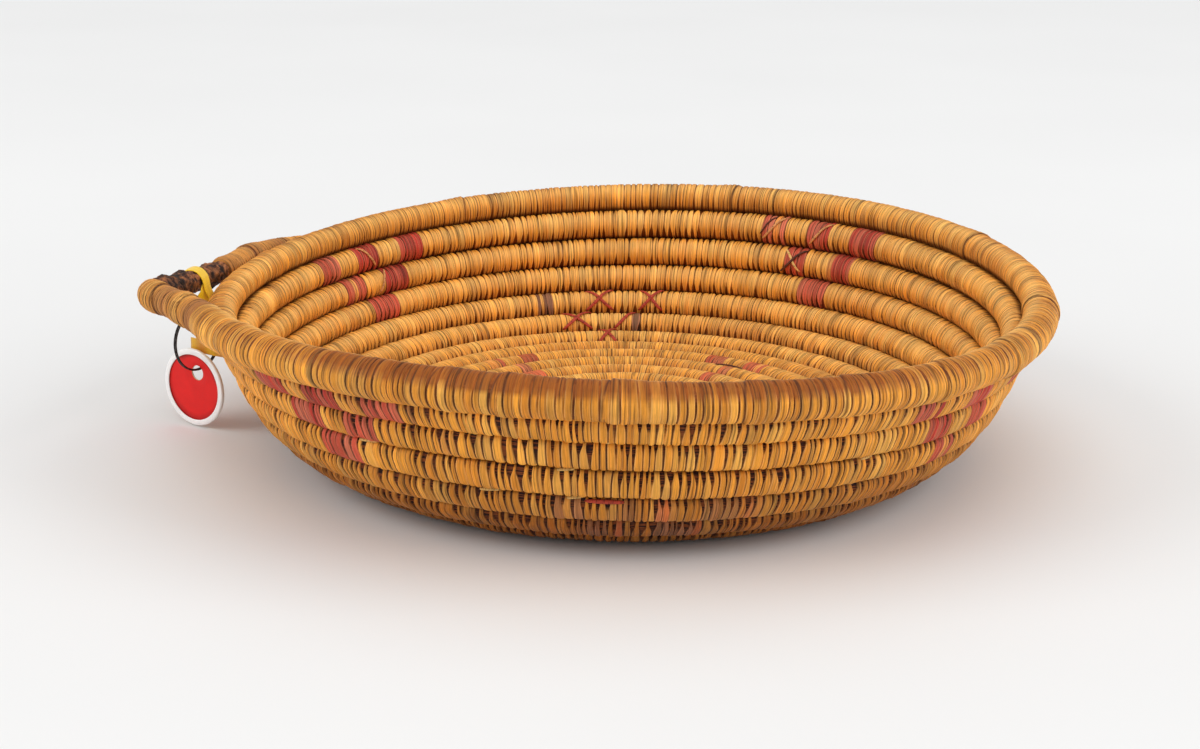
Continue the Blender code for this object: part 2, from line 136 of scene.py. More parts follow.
def toned(colours: Array, colour: Colour | Enum, share: Array) -> Array:
    """Colours brought towards one display colour by a share at each point."""
    return mixed(colours, linear(getattr(colour, "value", colour)), share)


def slow_noise(place: Array, waves: float, seed: int) -> Array:
    """Smooth unevenness along a line, between about -1 and 1.

    It is the sum of six sines whose lengths and phases are drawn once from the seed.

    Args:
        place: Places along the line.
        waves: Mean number of waves in each unit of length.
        seed: Seed of the draw.

    Returns:
        The unevenness at each place.
    """
    draw = np.random.default_rng(seed)
    total = np.zeros_like(np.asarray(place, float))
    for speed, phase in zip(draw.uniform(0.4, 1.8, 6), draw.uniform(0.0, math.tau, 6)):
        total = total + np.sin(place * speed * waves * math.tau + phase)
    return total / 3.2


@dataclass
class Grid:
    """A surface on a grid of two parameters, with what its material reads.

    The first axis runs along the piece and the second round it, which always closes.
    """

    points: Array
    along: Array
    around: Array
    colours: Array
    gaps: Array

    @classmethod
    def plain(cls, points: Array, length: float = 1.0, colours: Array | float = 1.0) -> "Grid":
        """Grid with even coordinates and no gaps.

        Args:
            points: Points of the surface, in millimetres.
            length: Coordinate at the far end of the piece.
            colours: Linear colours, one for each point or one for all. White if left out.

        Returns:
            The grid.
        """
        rows, columns = points.shape[:2]
        along = np.repeat(np.linspace(0.0, length, rows)[:, None], columns, axis=1)
        around = np.arange(columns) / columns
        return cls(points, along, around, np.ones(points.shape) * colours, np.zeros((rows, columns)))


def tube_faces(grid: Grid, ring: bool) -> tuple[Array, Array, Array]:
    """Faces of a grid, turned outwards, with the ends of an open tube closed.

    Each cell of the grid is one face. A ring joins its last row to its first. The faces that
    close an open tube meet at two extra points, numbered after the grid's own.

    Args:
        grid: Surface.
        ring: Whether the piece closes on itself along its length.

    Returns:
        Point of each corner, number of corners of each face, and coordinates of each corner.
    """
    rows, columns = grid.points.shape[:2]
    index = np.arange(rows * columns).reshape(rows, columns)
    after = np.roll(index, -1, axis=0) if ring else index[1:]
    here = index if ring else index[:-1]
    quads = np.stack([here, after, np.roll(after, -1, axis=1), np.roll(here, -1, axis=1)], axis=-1)
    quads = quads.reshape(-1, 4)
    along = grid.along.ravel()
    quad_u = along[quads]
    if ring:
        quad_u[-columns:, 1:3] += along[-1] + (along[-1] - along[-1 - columns])
    low_v = np.tile(grid.around, len(here))
    high_v = low_v + 1.0 / columns
    quad_v = np.stack([low_v, low_v, high_v, high_v], axis=-1)
    corners, totals = [quads.ravel()], [np.full(len(quads), 4)]
    uvs = [np.stack([quad_u, quad_v], axis=-1).reshape(-1, 2)]
    if not ring:
        first, last = index[0], index[-1]
        hubs = np.full((2, columns), [[index.size], [index.size + 1]])
        caps = np.concatenate([
            np.stack([first, np.roll(first, -1), hubs[0]], axis=-1),
            np.stack([np.roll(last, -1), last, hubs[1]], axis=-1)])
        with_hubs = np.append(along, along[[0, -1]])
        corners.append(caps.ravel())
        totals.append(np.full(len(caps), 3))
        uvs.append(np.stack([with_hubs[caps], np.zeros(caps.shape)], axis=-1).reshape(-1, 2))
    loops, counts, uv = (np.concatenate(parts) for parts in (corners, totals, uvs))
    middle = rows // 2
    corner, near, far = grid.points.reshape(-1, 3)[quads[middle * columns]][[0, 1, 3]]
    outwards = corner - grid.points[middle].mean(axis=0)
    if np.dot(np.cross(near - corner, far - corner), outwards) < 0.0:
        starts = np.cumsum(counts) - counts
        order = np.repeat(2 * starts + counts - 1, counts) - np.arange(len(loops))
        loops, uv = loops[order], uv[order]
    return loops, counts, uv


def mesh_from_grid(name: str, grid: Grid, material: Material,
                   ring: bool = False) -> bpy.types.Object:
    """Make an object from a grid, with its faces outwards and its ends closed.

    Args:
        name: Name of the object.
        grid: Surface and what its material reads.
        material: Finish of the piece.
        ring: Whether the piece closes on itself along its length.

    Returns:
        The object, at the origin.
    """
    points, colours, gaps = grid.points.reshape(-1, 3), grid.colours.reshape(-1, 3), grid.gaps.ravel()
    if not ring:
        middles = np.stack([grid.points[0].mean(axis=0), grid.points[-1].mean(axis=0)])
        points = np.concatenate([points, middles])
        colours = np.concatenate([colours, colours[[0, -1]] * CAP_SHADE])
        gaps = np.append(gaps, (0.0, 0.0))
    loops, counts, uv = tube_faces(grid, ring)
    mesh = bpy.data.meshes.new(name)
    mesh.vertices.add(len(points))
    mesh.vertices.foreach_set("co", (points * MM).astype(np.float32).ravel())
    mesh.loops.add(len(loops))
    mesh.loops.foreach_set("vertex_index", loops.astype(np.int32))
    mesh.polygons.add(len(counts))
    mesh.polygons.foreach_set("loop_start", (np.cumsum(counts) - counts).astype(np.int32))
    mesh.polygons.foreach_set("use_smooth", np.ones(len(counts), bool))
    mesh.update(calc_edges=True)
    mesh.uv_layers.new(name="splint").data.foreach_set("uv", uv.astype(np.float32).ravel())
    tint = mesh.attributes.new("tint", "FLOAT_COLOR", "POINT")
    opaque = np.column_stack([colours, np.ones(len(colours))])
    tint.data.foreach_set("color", opaque.astype(np.float32).ravel())
    mesh.attributes.new("gap", "FLOAT", "POINT").data.foreach_set("value", gaps.astype(np.float32))
    mesh.validate()
    mesh.materials.append(material)
    item = bpy.data.objects.new(name, mesh)
    bpy.context.collection.objects.link(item)
    return item


def sweep(path: Array, across: Array, upright: Array, outline: Array) -> Array:
    """Carry an outline along a path.

    Each point is the path's point plus the outline's two coordinates along the two directions
    across the path there.

    Args:
        path: Points of the path.
        across: First direction across the path at each point.
        upright: Second direction across the path at each point.
        outline: Coordinates of the outline, one pair for each corner, or one set for each point.

    Returns:
        The points of the swept surface.
    """
    shape = outline if outline.ndim == 3 else np.broadcast_to(outline, (len(path), *outline.shape))
    return path[:, None] + across[:, None] * shape[..., :1] + upright[:, None] * shape[..., 1:]


def corner_angles(count: int) -> Array:
    """Angles of a section's corners, from the side of the course below and round."""
    return np.arange(count) / count * 360.0 - 180.0


def round_outline(count: int) -> Array:
    """Corners of a round section with a radius of 1."""
    turn = np.arange(count) / count * math.tau
    return np.stack([np.cos(turn), np.sin(turn)], axis=-1)


def smooth_route(knots: Array, share: Array) -> Array:
    """Catmull-Rom curve through knots.

    Between two knots the point is the cubic that passes through both and leaves each of them
    along the line between its neighbours.

    Args:
        knots: Points that the curve passes through.
        share: Places along the curve, from 0 to 1.

    Returns:
        The curve's points at those places.
    """
    ends = np.concatenate([[knots[0] * 2.0 - knots[1]], knots, [knots[-1] * 2.0 - knots[-2]]])
    place = np.asarray(share) * (len(knots) - 1)
    low = np.minimum(place.astype(int), len(knots) - 2)
    t = (place - low)[:, None]
    a, b, c, d = (ends[low + step] for step in range(4))
    return 0.5 * (2.0 * b + (c - a) * t + (2.0 * a - 5.0 * b + 4.0 * c - d) * t ** 2
                  + (3.0 * b - a - 3.0 * c + d) * t ** 3)


# Finishes


class NodeDesk:
    """Short hand for putting the nodes of one material together."""

    def __init__(self, name: str) -> None:
        """Start an empty material.

        Args:
            name: Name of the material.
        """
        self.material = bpy.data.materials.new(name)
        self.material.use_nodes = True
        self.tree = self.material.node_tree
        self.shader = self.tree.nodes["Principled BSDF"]

    def add(self, kind: str, **settings: object) -> bpy.types.Node:
        """Add a node and set its properties and its unlinked sockets.

        Args:
            kind: Type of the node, without its prefix.
            settings: Values by property name, or by socket name with spaces as underscores.

        Returns:
            The node.
        """
        node = self.tree.nodes.new(f"ShaderNode{kind}")
        for key, value in settings.items():
            if hasattr(node, key):
                setattr(node, key, value)
            else:
                node.inputs[key.replace("_", " ")].default_value = value
        return node

    def link(self, source: Socket, target: Socket) -> None:
        """Join two sockets."""
        self.tree.links.new(source, target)

    def mapped(self, source: Socket, scale: tuple[float, float, float]) -> Socket:
        """Scale coordinates along their three directions.

        Args:
            source: Coordinates.
            scale: Factor along each direction.

        Returns:
            The scaled coordinates.
        """
        mapping = self.add("Mapping", Scale=scale)
        self.link(source, mapping.inputs["Vector"])
        return mapping.outputs["Vector"]

    def uv(self, along: float, around: float) -> Socket:
        """Coordinates along and round the piece, scaled."""
        return self.mapped(self.add("UVMap", uv_map="splint").outputs["UV"], (along, around, 1.0))

    def place(self, scale: float) -> Socket:
        """Coordinates in the object's own space, scaled."""
        return self.mapped(self.add("TexCoord").outputs["Object"], (scale, scale, scale))

    def noise(self, vector: Socket, detail: float, rough: float = 0.5) -> Socket:
        """Make noise on given coordinates.

        Args:
            vector: Coordinates.
            detail: Number of finer layers.
            rough: Weight of each finer layer.

        Returns:
            Noise between 0 and 1.
        """
        node = self.add("TexNoise", Scale=1.0, Detail=detail, Roughness=rough)
        self.link(vector, node.inputs["Vector"])
        return node.outputs["Fac"]

    def ramp(self, value: Socket, low: float, high: float, start: float, end: float) -> Socket:
        """Bring a value from one range to another, and hold it at the ends.

        Args:
            value: The value.
            low: Value that gives start.
            high: Value that gives end.
            start: Result at low.
            end: Result at high.

        Returns:
            The result.
        """
        node = self.add("MapRange", clamp=True, From_Min=low, From_Max=high, To_Min=start, To_Max=end)
        self.link(value, node.inputs["Value"])
        return node.outputs["Result"]

    def scaled(self, colour: Socket, value: Socket) -> Socket:
        """Make a colour darker or lighter.

        Args:
            colour: The colour.
            value: Factor that it is multiplied by.

        Returns:
            The new colour.
        """
        node = self.add("VectorMath", operation="SCALE")
        self.link(colour, node.inputs[0])
        self.link(value, node.inputs["Scale"])
        return node.outputs["Vector"]

    def mix(self, share: Socket | float, first: Socket | Array, second: Socket | Array,
            blend: str = "MIX") -> Socket:
        """Mix two colours.

        Args:
            share: Share of the second colour, a socket or a constant.
            first: First colour, a socket or a constant.
            second: Second colour, a socket or a constant.
            blend: How the second colour is laid on the first.

        Returns:
            The mixed colour.
        """
        node = self.add("Mix", data_type="RGBA", blend_type=blend)
        for socket, value in zip((node.inputs["Factor"], node.inputs[6], node.inputs[7]),
                                 (share, first, second)):
            if isinstance(value, Socket):
                self.link(value, socket)
            else:
                socket.default_value = value if socket.type == "VALUE" else (*value, 1.0)
        return node.outputs[2]

    def attribute(self, name: str, output: str) -> Socket:
        """One output of a mesh attribute."""
        return self.add("Attribute", attribute_name=name).outputs[output]

    def bumped(self, height: Socket, distance: float, strength: float) -> None:
        """Give the shader a relief.

        Args:
            height: Height, from 0 to 1.
            distance: Depth of the relief, in metres.
            strength: Share of the relief that shows.
        """
        node = self.add("Bump", Distance=distance, Strength=strength)
        self.link(height, node.inputs["Height"])
        self.link(node.outputs["Normal"], self.shader.inputs["Normal"])

    def finish(self, colour: Socket, rough: Socket, **constants: float) -> Material:
        """Give the shader its colour, roughness and constants.

        Args:
            colour: Base colour.
            rough: Roughness.
            constants: Values by the name of the shader's socket, with spaces as underscores.

        Returns:
            The material.
        """
        self.link(colour, self.shader.inputs["Base Color"])
        self.link(rough, self.shader.inputs["Roughness"])
        for key, value in constants.items():
            self.shader.inputs[key.replace("_", " ")].default_value = value
        return self.material


@dataclass(frozen=True)
class WrappedGrass:
    """Dry splints wound side by side, with fine fibres and stems showing in the notches."""

    name: str = "wrapped_grass"
    stem_dark: Colour = (44, 10, 2)
    stem_pale: Colour = (134, 68, 24)
    specular: float = 0.24
    fibre_height: float = 0.00025
    fibre_strength: float = 0.30

    def material(self) -> Material:
        """Build the material.

        Returns:
            Splint colour from the mesh, fibre streaks along each splint, faint blotches, and
            stems of the bundle in the notches.
        """
        desk = NodeDesk(self.name)
        tint = desk.attribute("tint", "Color")
        gap = desk.attribute("gap", "Fac")
        fibres = desk.noise(desk.uv(9.0, 5.0), 3.0, 0.65)
        strands = desk.noise(desk.uv(3.6, 1.1), 2.0, 0.6)
        fine = desk.noise(desk.uv(23.0, 11.0), 2.0, 0.6)
        blotch = desk.noise(desk.place(95.0), 3.0)
        stems = desk.noise(desk.uv(0.35, 46.0), 1.0)
        colour = desk.scaled(tint, desk.ramp(fibres, 0.25, 0.75, 0.70, 1.26))
        colour = desk.scaled(colour, desk.ramp(fine, 0.3, 0.75, 0.86, 1.14))
        colour = desk.scaled(colour, desk.ramp(blotch, 0.3, 0.7, 0.88, 1.10))
        colour = desk.scaled(colour, desk.ramp(strands, 0.37, 0.45, 0.44, 1.0))
        colour = desk.scaled(colour, desk.ramp(strands, 0.56, 0.63, 1.0, 1.26))
        stem = desk.mix(desk.ramp(stems, 0.46, 0.58, 0.0, 1.0), linear(self.stem_dark),
                        linear(self.stem_pale))
        desk.bumped(fibres, self.fibre_height, self.fibre_strength)
        return desk.finish(desk.mix(gap, colour, stem), desk.ramp(fibres, 0.2, 0.8, 0.62, 0.46),
                           Specular_IOR_Level=self.specular)


@dataclass(frozen=True)
class BareGrass:
    """Dark bundle of stems where the handle has no splints."""

    name: str = "bare_grass"
    dark: Colour = (40, 16, 8)
    pale: Colour = (150, 92, 50)
    specular: float = 0.35
    stem_height: float = 0.0005
    stem_strength: float = 0.7

    def material(self) -> Material:
        """Build the material.

        Returns:
            Dark brown stems with paler fibres, in streaks along the bundle.
        """
        desk = NodeDesk(self.name)
        stems = desk.noise(desk.uv(0.55, 11.0), 4.0, 0.65)
        blotch = desk.noise(desk.place(150.0), 3.0, 0.6)
        colour = desk.mix(desk.ramp(stems, 0.40, 0.66, 0.0, 1.0), linear(self.dark), linear(self.pale))
        colour = desk.scaled(colour, desk.ramp(blotch, 0.40, 0.60, 0.12, 1.75))
        colour = desk.mix(1.0, colour, desk.attribute("tint", "Color"), "MULTIPLY")
        desk.bumped(stems, self.stem_height, self.stem_strength)
        return desk.finish(colour, desk.ramp(stems, 0.3, 0.7, 0.75, 0.5),
                           Specular_IOR_Level=self.specular)


@dataclass(frozen=True)
class SatinRibbon:
    """Yellow ribbon with a fine weave along it; its colour, with the painted shade of its tail and folds,
    comes from the mesh.
    """

    name: str = "yellow_ribbon"
    sheen: float = 0.2
    weave_height: float = 0.0001
    weave_strength: float = 0.25

    def material(self) -> Material:
        """Build the material.

        Returns:
            Colour from the mesh, yellow to orange-brown, with a fine cross weave.
        """
        desk = NodeDesk(self.name)
        weave = desk.noise(desk.uv(260.0, 3.0), 1.0)
        streak = desk.noise(desk.uv(5.0, 60.0), 2.0)
        colour = desk.scaled(desk.attribute("tint", "Color"), desk.ramp(weave, 0.3, 0.7, 0.93, 1.05))
        colour = desk.scaled(colour, desk.ramp(streak, 0.3, 0.7, 0.88, 1.08))
        desk.bumped(weave, self.weave_height, self.weave_strength)
        return desk.finish(colour, desk.ramp(weave, 0.3, 0.7, 0.42, 0.34), Sheen_Weight=self.sheen)


@dataclass(frozen=True)
class DrawnWire:
    """Dark drawn steel of the split ring."""

    name: str = "ring_steel"
    dark: Colour = (44, 42, 42)
    pale: Colour = (92, 88, 86)
    line_height: float = 0.00005
    line_strength: float = 0.2

    def material(self) -> Material:
        """Build the material.

        Returns:
            Dark metal with drawing lines along the wire.
        """
        desk = NodeDesk(self.name)
        lines = desk.noise(desk.uv(6.0, 26.0), 2.0)
        spots = desk.noise(desk.place(900.0), 2.0)
        colour = desk.mix(desk.ramp(spots, 0.35, 0.7, 0.0, 1.0), linear(self.dark), linear(self.pale))
        desk.bumped(lines, self.line_height, self.line_strength)
        return desk.finish(colour, desk.ramp(lines, 0.3, 0.7, 0.22, 0.4), Metallic=1.0)


@dataclass(frozen=True)
class CoatedCard:
    """Red coated card of the tag, with painted shade in a thin darker ring along the rim's lip."""

    name: str = "tag_red"
    specular: float = 0.3
    tooth_height: float = 0.00003
    tooth_strength: float = 0.2

    def material(self) -> Material:
        """Build the material.

        Returns:
            Colour from the mesh, red with its painted shade by the rim and pale board in the hole, with a
            faint paper tooth.
        """
        desk = NodeDesk(self.name)
        tooth = desk.noise(desk.place(2600.0), 2.0)
        cloud = desk.noise(desk.place(190.0), 2.0)
        colour = desk.scaled(desk.attribute("tint", "Color"), desk.ramp(tooth, 0.3, 0.7, 0.96, 1.04))
        colour = desk.scaled(colour, desk.ramp(cloud, 0.3, 0.7, 0.95, 1.05))
        desk.bumped(tooth, self.tooth_height, self.tooth_strength)
        return desk.finish(colour, desk.ramp(tooth, 0.3, 0.7, 0.5, 0.6), Specular_IOR_Level=self.specular)


@dataclass(frozen=True)
class PressedMetal:
    """Pale pressed metal of the tag's rim."""

    name: str = "tag_metal"
    bright: Colour = (253, 252, 250)
    scuffed: Colour = (244, 242, 240)
    metallic: float = 0.08
    line_height: float = 0.00004
    line_strength: float = 0.2

    def material(self) -> Material:
        """Build the material.

        Returns:
            Pale metal with pressing lines round it and small scuffs.
        """
        desk = NodeDesk(self.name)
        lines = desk.noise(desk.uv(30.0, 24.0), 2.0)
        scuffs = desk.noise(desk.place(300.0), 2.0)
        colour = desk.mix(desk.ramp(scuffs, 0.35, 0.75, 0.0, 1.0), linear(self.bright),
                          linear(self.scuffed))
        desk.bumped(lines, self.line_height, self.line_strength)
        return desk.finish(colour, desk.ramp(lines, 0.3, 0.7, 0.28, 0.42), Metallic=self.metallic)


# The coil's path


@dataclass(frozen=True)
class CoilPath:
    """Centre line of the grass coil, counted in turns from the rim's root down to the middle."""

    rim_radius: float = 165.0
    root_angle: float = 203.0
    pitch: float = 12.2
    rim_wrap: float = 6.5
    seat: float = 0.3
    slopes: tuple[float, ...] = (44.0, 62.0, 69.5, 60.5, 50.0, 33.0, 21.0, 0.0)
    lean: tuple[float, float] = (3.0, 40.0)
    saddle: tuple[float, float] = (2.8, 71.0)
    ripple: tuple[float, float] = (0.7, 21.0)
    wall_turns: int = 7
    start_radius: float = 20.0
    flat_side: float = math.sin(math.radians(60.0))
    most_turns: int = 17
    turn_steps: int = 40
    turn_points: int = 12

    @cached_property
    def profile_table(self) -> tuple[Array, Array, Array, Array]:
        """The wall's profile, walked in small steps.

        Each step goes a share of the pitch inwards and down, by the slope's cosine and sine.

        Returns:
            Turn, radius, height under the rim's root and length of coil at each step.
        """
        steps = self.turn_steps
        turn = 1.0 + np.arange(self.most_turns * steps + 1) / steps
        middle = (turn[1:] + turn[:-1]) / 2.0
        extra = self.rim_wrap - (self.pitch - self.seat) / 2.0
        reach = (self.pitch + np.where(middle < 2.0, extra, 0.0)) / steps
        slope = self.slope(middle)
        radius = self.rim_radius - np.concatenate([[0.0], np.cumsum(reach * np.cos(slope))])
        height = -np.concatenate([[0.0], np.cumsum(reach * np.sin(slope))])
        walked = np.concatenate([[0.0], np.cumsum(math.tau * (radius[1:] + radius[:-1]) / 2.0 / steps)])
        return turn, radius, height, walked

    def slope(self, turn: Array) -> Array:
        """Slope of the wall against the floor at a turn, in radians."""
        return np.radians(np.interp(np.asarray(turn) - 1.5, np.arange(len(self.slopes)), self.slopes))

    def radius(self, turn: Array) -> Array:
        """Distance of the coil from the basket's axis at a turn."""
        return np.interp(turn, self.profile_table[0], self.profile_table[1])

    def length(self, turn: Array) -> Array:
        """Length of coil from the rim's root to a turn."""
        return np.interp(turn, self.profile_table[0], self.profile_table[3])

    def turn_at(self, length: Array) -> Array:
        """Turn at a length of coil from the rim's root."""
        return np.interp(length, self.profile_table[3], self.profile_table[0])

    def angle(self, turn: Array) -> Array:
        """Angle round the basket at a turn."""
        return self.root_angle + (np.asarray(turn) - 1.0) * 360.0

    @cached_property
    def root_height(self) -> float:
        """Height of the rim's root over the floor."""
        return -self.profile_table[2][-1] + (self.pitch - self.seat) / 2.0 * self.flat_side

    def centre(self, turn: Array) -> Array:
        """Points of the centre line.

        The radius and height come from the profile, and the wall is lifted by a lean, a saddle
        and a ripple that are full at the rim and nothing at the heel.

        Args:
            turn: Turns along the coil.

        Returns:
            The points, in millimetres.
        """
        turns, _, heights, _ = self.profile_table
        height = np.interp(turn, turns, heights)
        heel = heights[(self.wall_turns - 1) * self.turn_steps]
        share = np.clip(1.0 - height / heel, 0.0, 1.0)
        angle = np.radians(self.angle(turn))
        sway = np.zeros_like(height)
        for waves, (size, top) in enumerate((self.lean, self.saddle, self.ripple), start=1):
            sway = sway + size * np.cos(waves * (angle - math.radians(top)))
        radius = self.radius(turn)
        return np.stack([radius * np.cos(angle), radius * np.sin(angle),
                         height + share * sway + self.root_height], axis=-1)

    def frames(self, turn: Array) -> tuple[Array, Array]:
        """Directions across the coil, turned from level and upright by the wall's slope.

        Args:
            turn: Turns along the coil.

        Returns:
            Directions along the wall to the course above, and out of the basket.
        """
        slope, angle = self.slope(turn), np.radians(self.angle(turn))
        level = np.stack([np.cos(angle), np.sin(angle), np.zeros_like(angle)], axis=-1)
        rise, run = np.sin(slope)[..., None], np.cos(slope)[..., None]
        return level * run + UP * rise, level * rise - UP * run

    def spacing(self, turn: Array) -> Array:
        """Distance from the coil to its next turn inwards."""
        return np.linalg.norm(self.centre(turn) - self.centre(np.asarray(turn) + 1.0), axis=-1)

    def wrap(self, turn: Array) -> Array:
        """Radius of the wrapped coil, which fills the space between its neighbours.

        It is half the smaller distance to a neighbour, less half a seat. The rim's course takes
        what the course below leaves of their distance.

        Args:
            turn: Turns along the coil.

        Returns:
            The radius at each turn.
        """
        turn = np.asarray(turn, float)
        inner = (self.spacing(turn) - self.seat) / 2.0
        outer = (self.spacing(np.maximum(turn - 1.0, 1.0)) - self.seat) / 2.0
        below = np.minimum((self.spacing(turn + 1.0) - self.seat) / 2.0, inner)
        return np.where(turn >= 2.0, np.minimum(inner, outer), self.spacing(turn) - self.seat - below)

    @cached_property
    def last_turn(self) -> float:
        """Turn at which the coil reaches the start knot.

        Returns:
            The first of the coil's points that is no farther from the axis than the knot's edge.
        """
        points = self.turn_points
        turns = np.arange(points * (self.wall_turns + 1), points * self.most_turns) / points
        return float(turns[self.radius(turns) <= self.start_radius][0])

    def at_angle(self, course: int, angle: float) -> float:
        """Turn at which a course, counted from the rim, passes an angle."""
        return course + ((angle - self.root_angle) % 360.0) / 360.0


# Dyed blocks and marks


class Straw(Enum):
    """Colours of plain splints and of the places where they are pale, dark or brown: grooves, wear, the
    painted shade on their lower sides, at their laps and in the crevices between courses, and the painted
    highlight on their crests.
    """

    GOLD = (242, 162, 54)
    PALE = (255, 198, 98)
    AMBER = (218, 130, 34)
    OLIVE = (194, 146, 76)
    # Painted shade on the lower side of each coil.
    LOWER_SIDE_SHADE = (146, 70, 12)
    # Painted highlight on the crest inside the basket.
    CREST_HIGHLIGHT = (252, 206, 124)
    EDGE = (255, 206, 132)
    GROOVE_OUTSIDE = (66, 14, 2)
    GROOVE_INSIDE = (100, 36, 6)
    # Painted shade in the crevices between courses, outside and inside the basket.
    CREVICE_SHADE_OUTSIDE = (60, 12, 0)
    CREVICE_SHADE_INSIDE = (88, 34, 4)
    LAP = (70, 26, 12)
    WORN = (148, 74, 6)
    HANDLE = (164, 104, 62)


class Draw(IntEnum):
    """Offsets from a piece's seed, which keep its random draws apart."""

    HANDLE_RADIUS = 2
    HANDLE_BROWN = 3
    TILT = 5
    PATCH = 17
    LONG_SWELL = 31
    SHORT_SWELL = 32
    DYE = 44
    WEAR = 71
    STRAW = 90


class Dye(Enum):
    """Colours of the splints that aren't plain."""

    RED = (190, 56, 40)
    CORAL = (206, 82, 56)
    GREY = (112, 76, 58)
    PINK = (196, 92, 54)


@dataclass(frozen=True)
class Block:
    """A run of dyed splints on one course, from one angle to another."""

    course: int
    start: float
    end: float
    dye: Dye
    strength: float = 1.0


@dataclass(frozen=True)
class SteppedMotif:
    """A triangle of blocks that has one block fewer on each course."""

    centre: float
    spacings: tuple[float, float]
    width: float
    leans: tuple[float, float] = (0.0, 0.0)
    course: int = 2
    tiers: int = 3

    def blocks(self) -> list[Block]:
        """Blocks of the triangle.

        Returns:
            Three blocks on the first course, two on the next and one on the last.
        """
        made = []
        for tier in range(self.tiers):
            count = self.tiers - tier
            spacing, lean = (*self.spacings, 0.0)[tier], (0.0, *self.leans)[tier]
            for number in range(count):
                middle = self.centre + lean + (number - (count - 1) / 2.0) * spacing
                half = self.width / 2.0 * (1.0 + 0.08 * tier)
                dye = Dye.CORAL if (tier + number) % 3 == 2 else Dye.RED
                made.append(Block(self.course + tier, middle - half, middle + half, dye))
        return made


def dyed_blocks() -> list[Block]:
    """All dyed runs of the basket.

    Returns:
        Four stepped triangles under the rim, marks on the lower courses at the front and back,
        four small groups on the base, and three faint marks near the triangle at the left front.
    """
    blocks: list[Block] = []
    for motif in (SteppedMotif(230.3, (10.0, 9.6), 5.4),
                  SteppedMotif(322.2, (11.2, 9.3), 4.6, (-1.7, -2.3)),
                  SteppedMotif(140.2, (9.3, 9.0), 4.9),
                  SteppedMotif(53.4, (9.1, 9.4), 4.8, (-0.7, -1.5))):
        blocks += motif.blocks()
    grey, pink, red = Dye.GREY, Dye.PINK, Dye.RED
    front = 268.5
    for course, start, end, dye, strength in (
            (5, -8.5, -8.0, red, 0.9), (5, -7.8, -3.0, grey, 0.55), (5, 0.4, 4.6, grey, 0.55),
            (5, 6.2, 8.6, pink, 0.65), (5, 12.4, 17.4, grey, 0.55), (5, 17.6, 21.0, pink, 0.6),
            (6, -5.0, 0.2, grey, 0.6), (6, 0.4, 2.2, pink, 0.7), (6, 7.0, 12.0, grey, 0.7),
            (6, 12.2, 14.0, pink, 0.6)):
        blocks.append(Block(course, front + start, front + end, dye, strength))
    blocks += [Block(5, 104.0, 107.5, grey, 0.95), Block(6, 86.0, 87.5, grey, 0.9)]
    for at in (125.0, 55.0, 305.0, 235.0):
        side = 1.0 if at in (125.0, 305.0) else -1.0
        for course, start, end, dye in ((9, 2.0, 8.0, Dye.CORAL), (9, -10.0, -4.6, red),
                                        (10, -1.5, 2.0, pink), (11, -3.4, 5.4, Dye.CORAL)):
            low, high = sorted((at + side * start, at + side * end))
            blocks.append(Block(course, low, high, dye, 0.85))
    for course, start, end in ((2, 235.6, 236.8), (2, 243.6, 244.8), (3, 247.2, 249.8)):
        blocks.append(Block(course, start, end, grey, 0.4))
    return blocks


# Wrapped coil


@dataclass
class WrapStyle:
    """How the splints of a piece of coil lie: their width, lines, notches and unevenness."""

    pitch: float = 2.65
    line: float = 0.062
    notch: float = 0.17
    tick: float = 0.20
    seams: float = 0.80
    bulge: float = 0.30
    round_inner: float = 2.25
    round_outer: float = 3.3
    corners: int = 22
    wear: float = 0.0
    exposed: bool = False
    laps: tuple[float, ...] = ()
    seed: int = 1


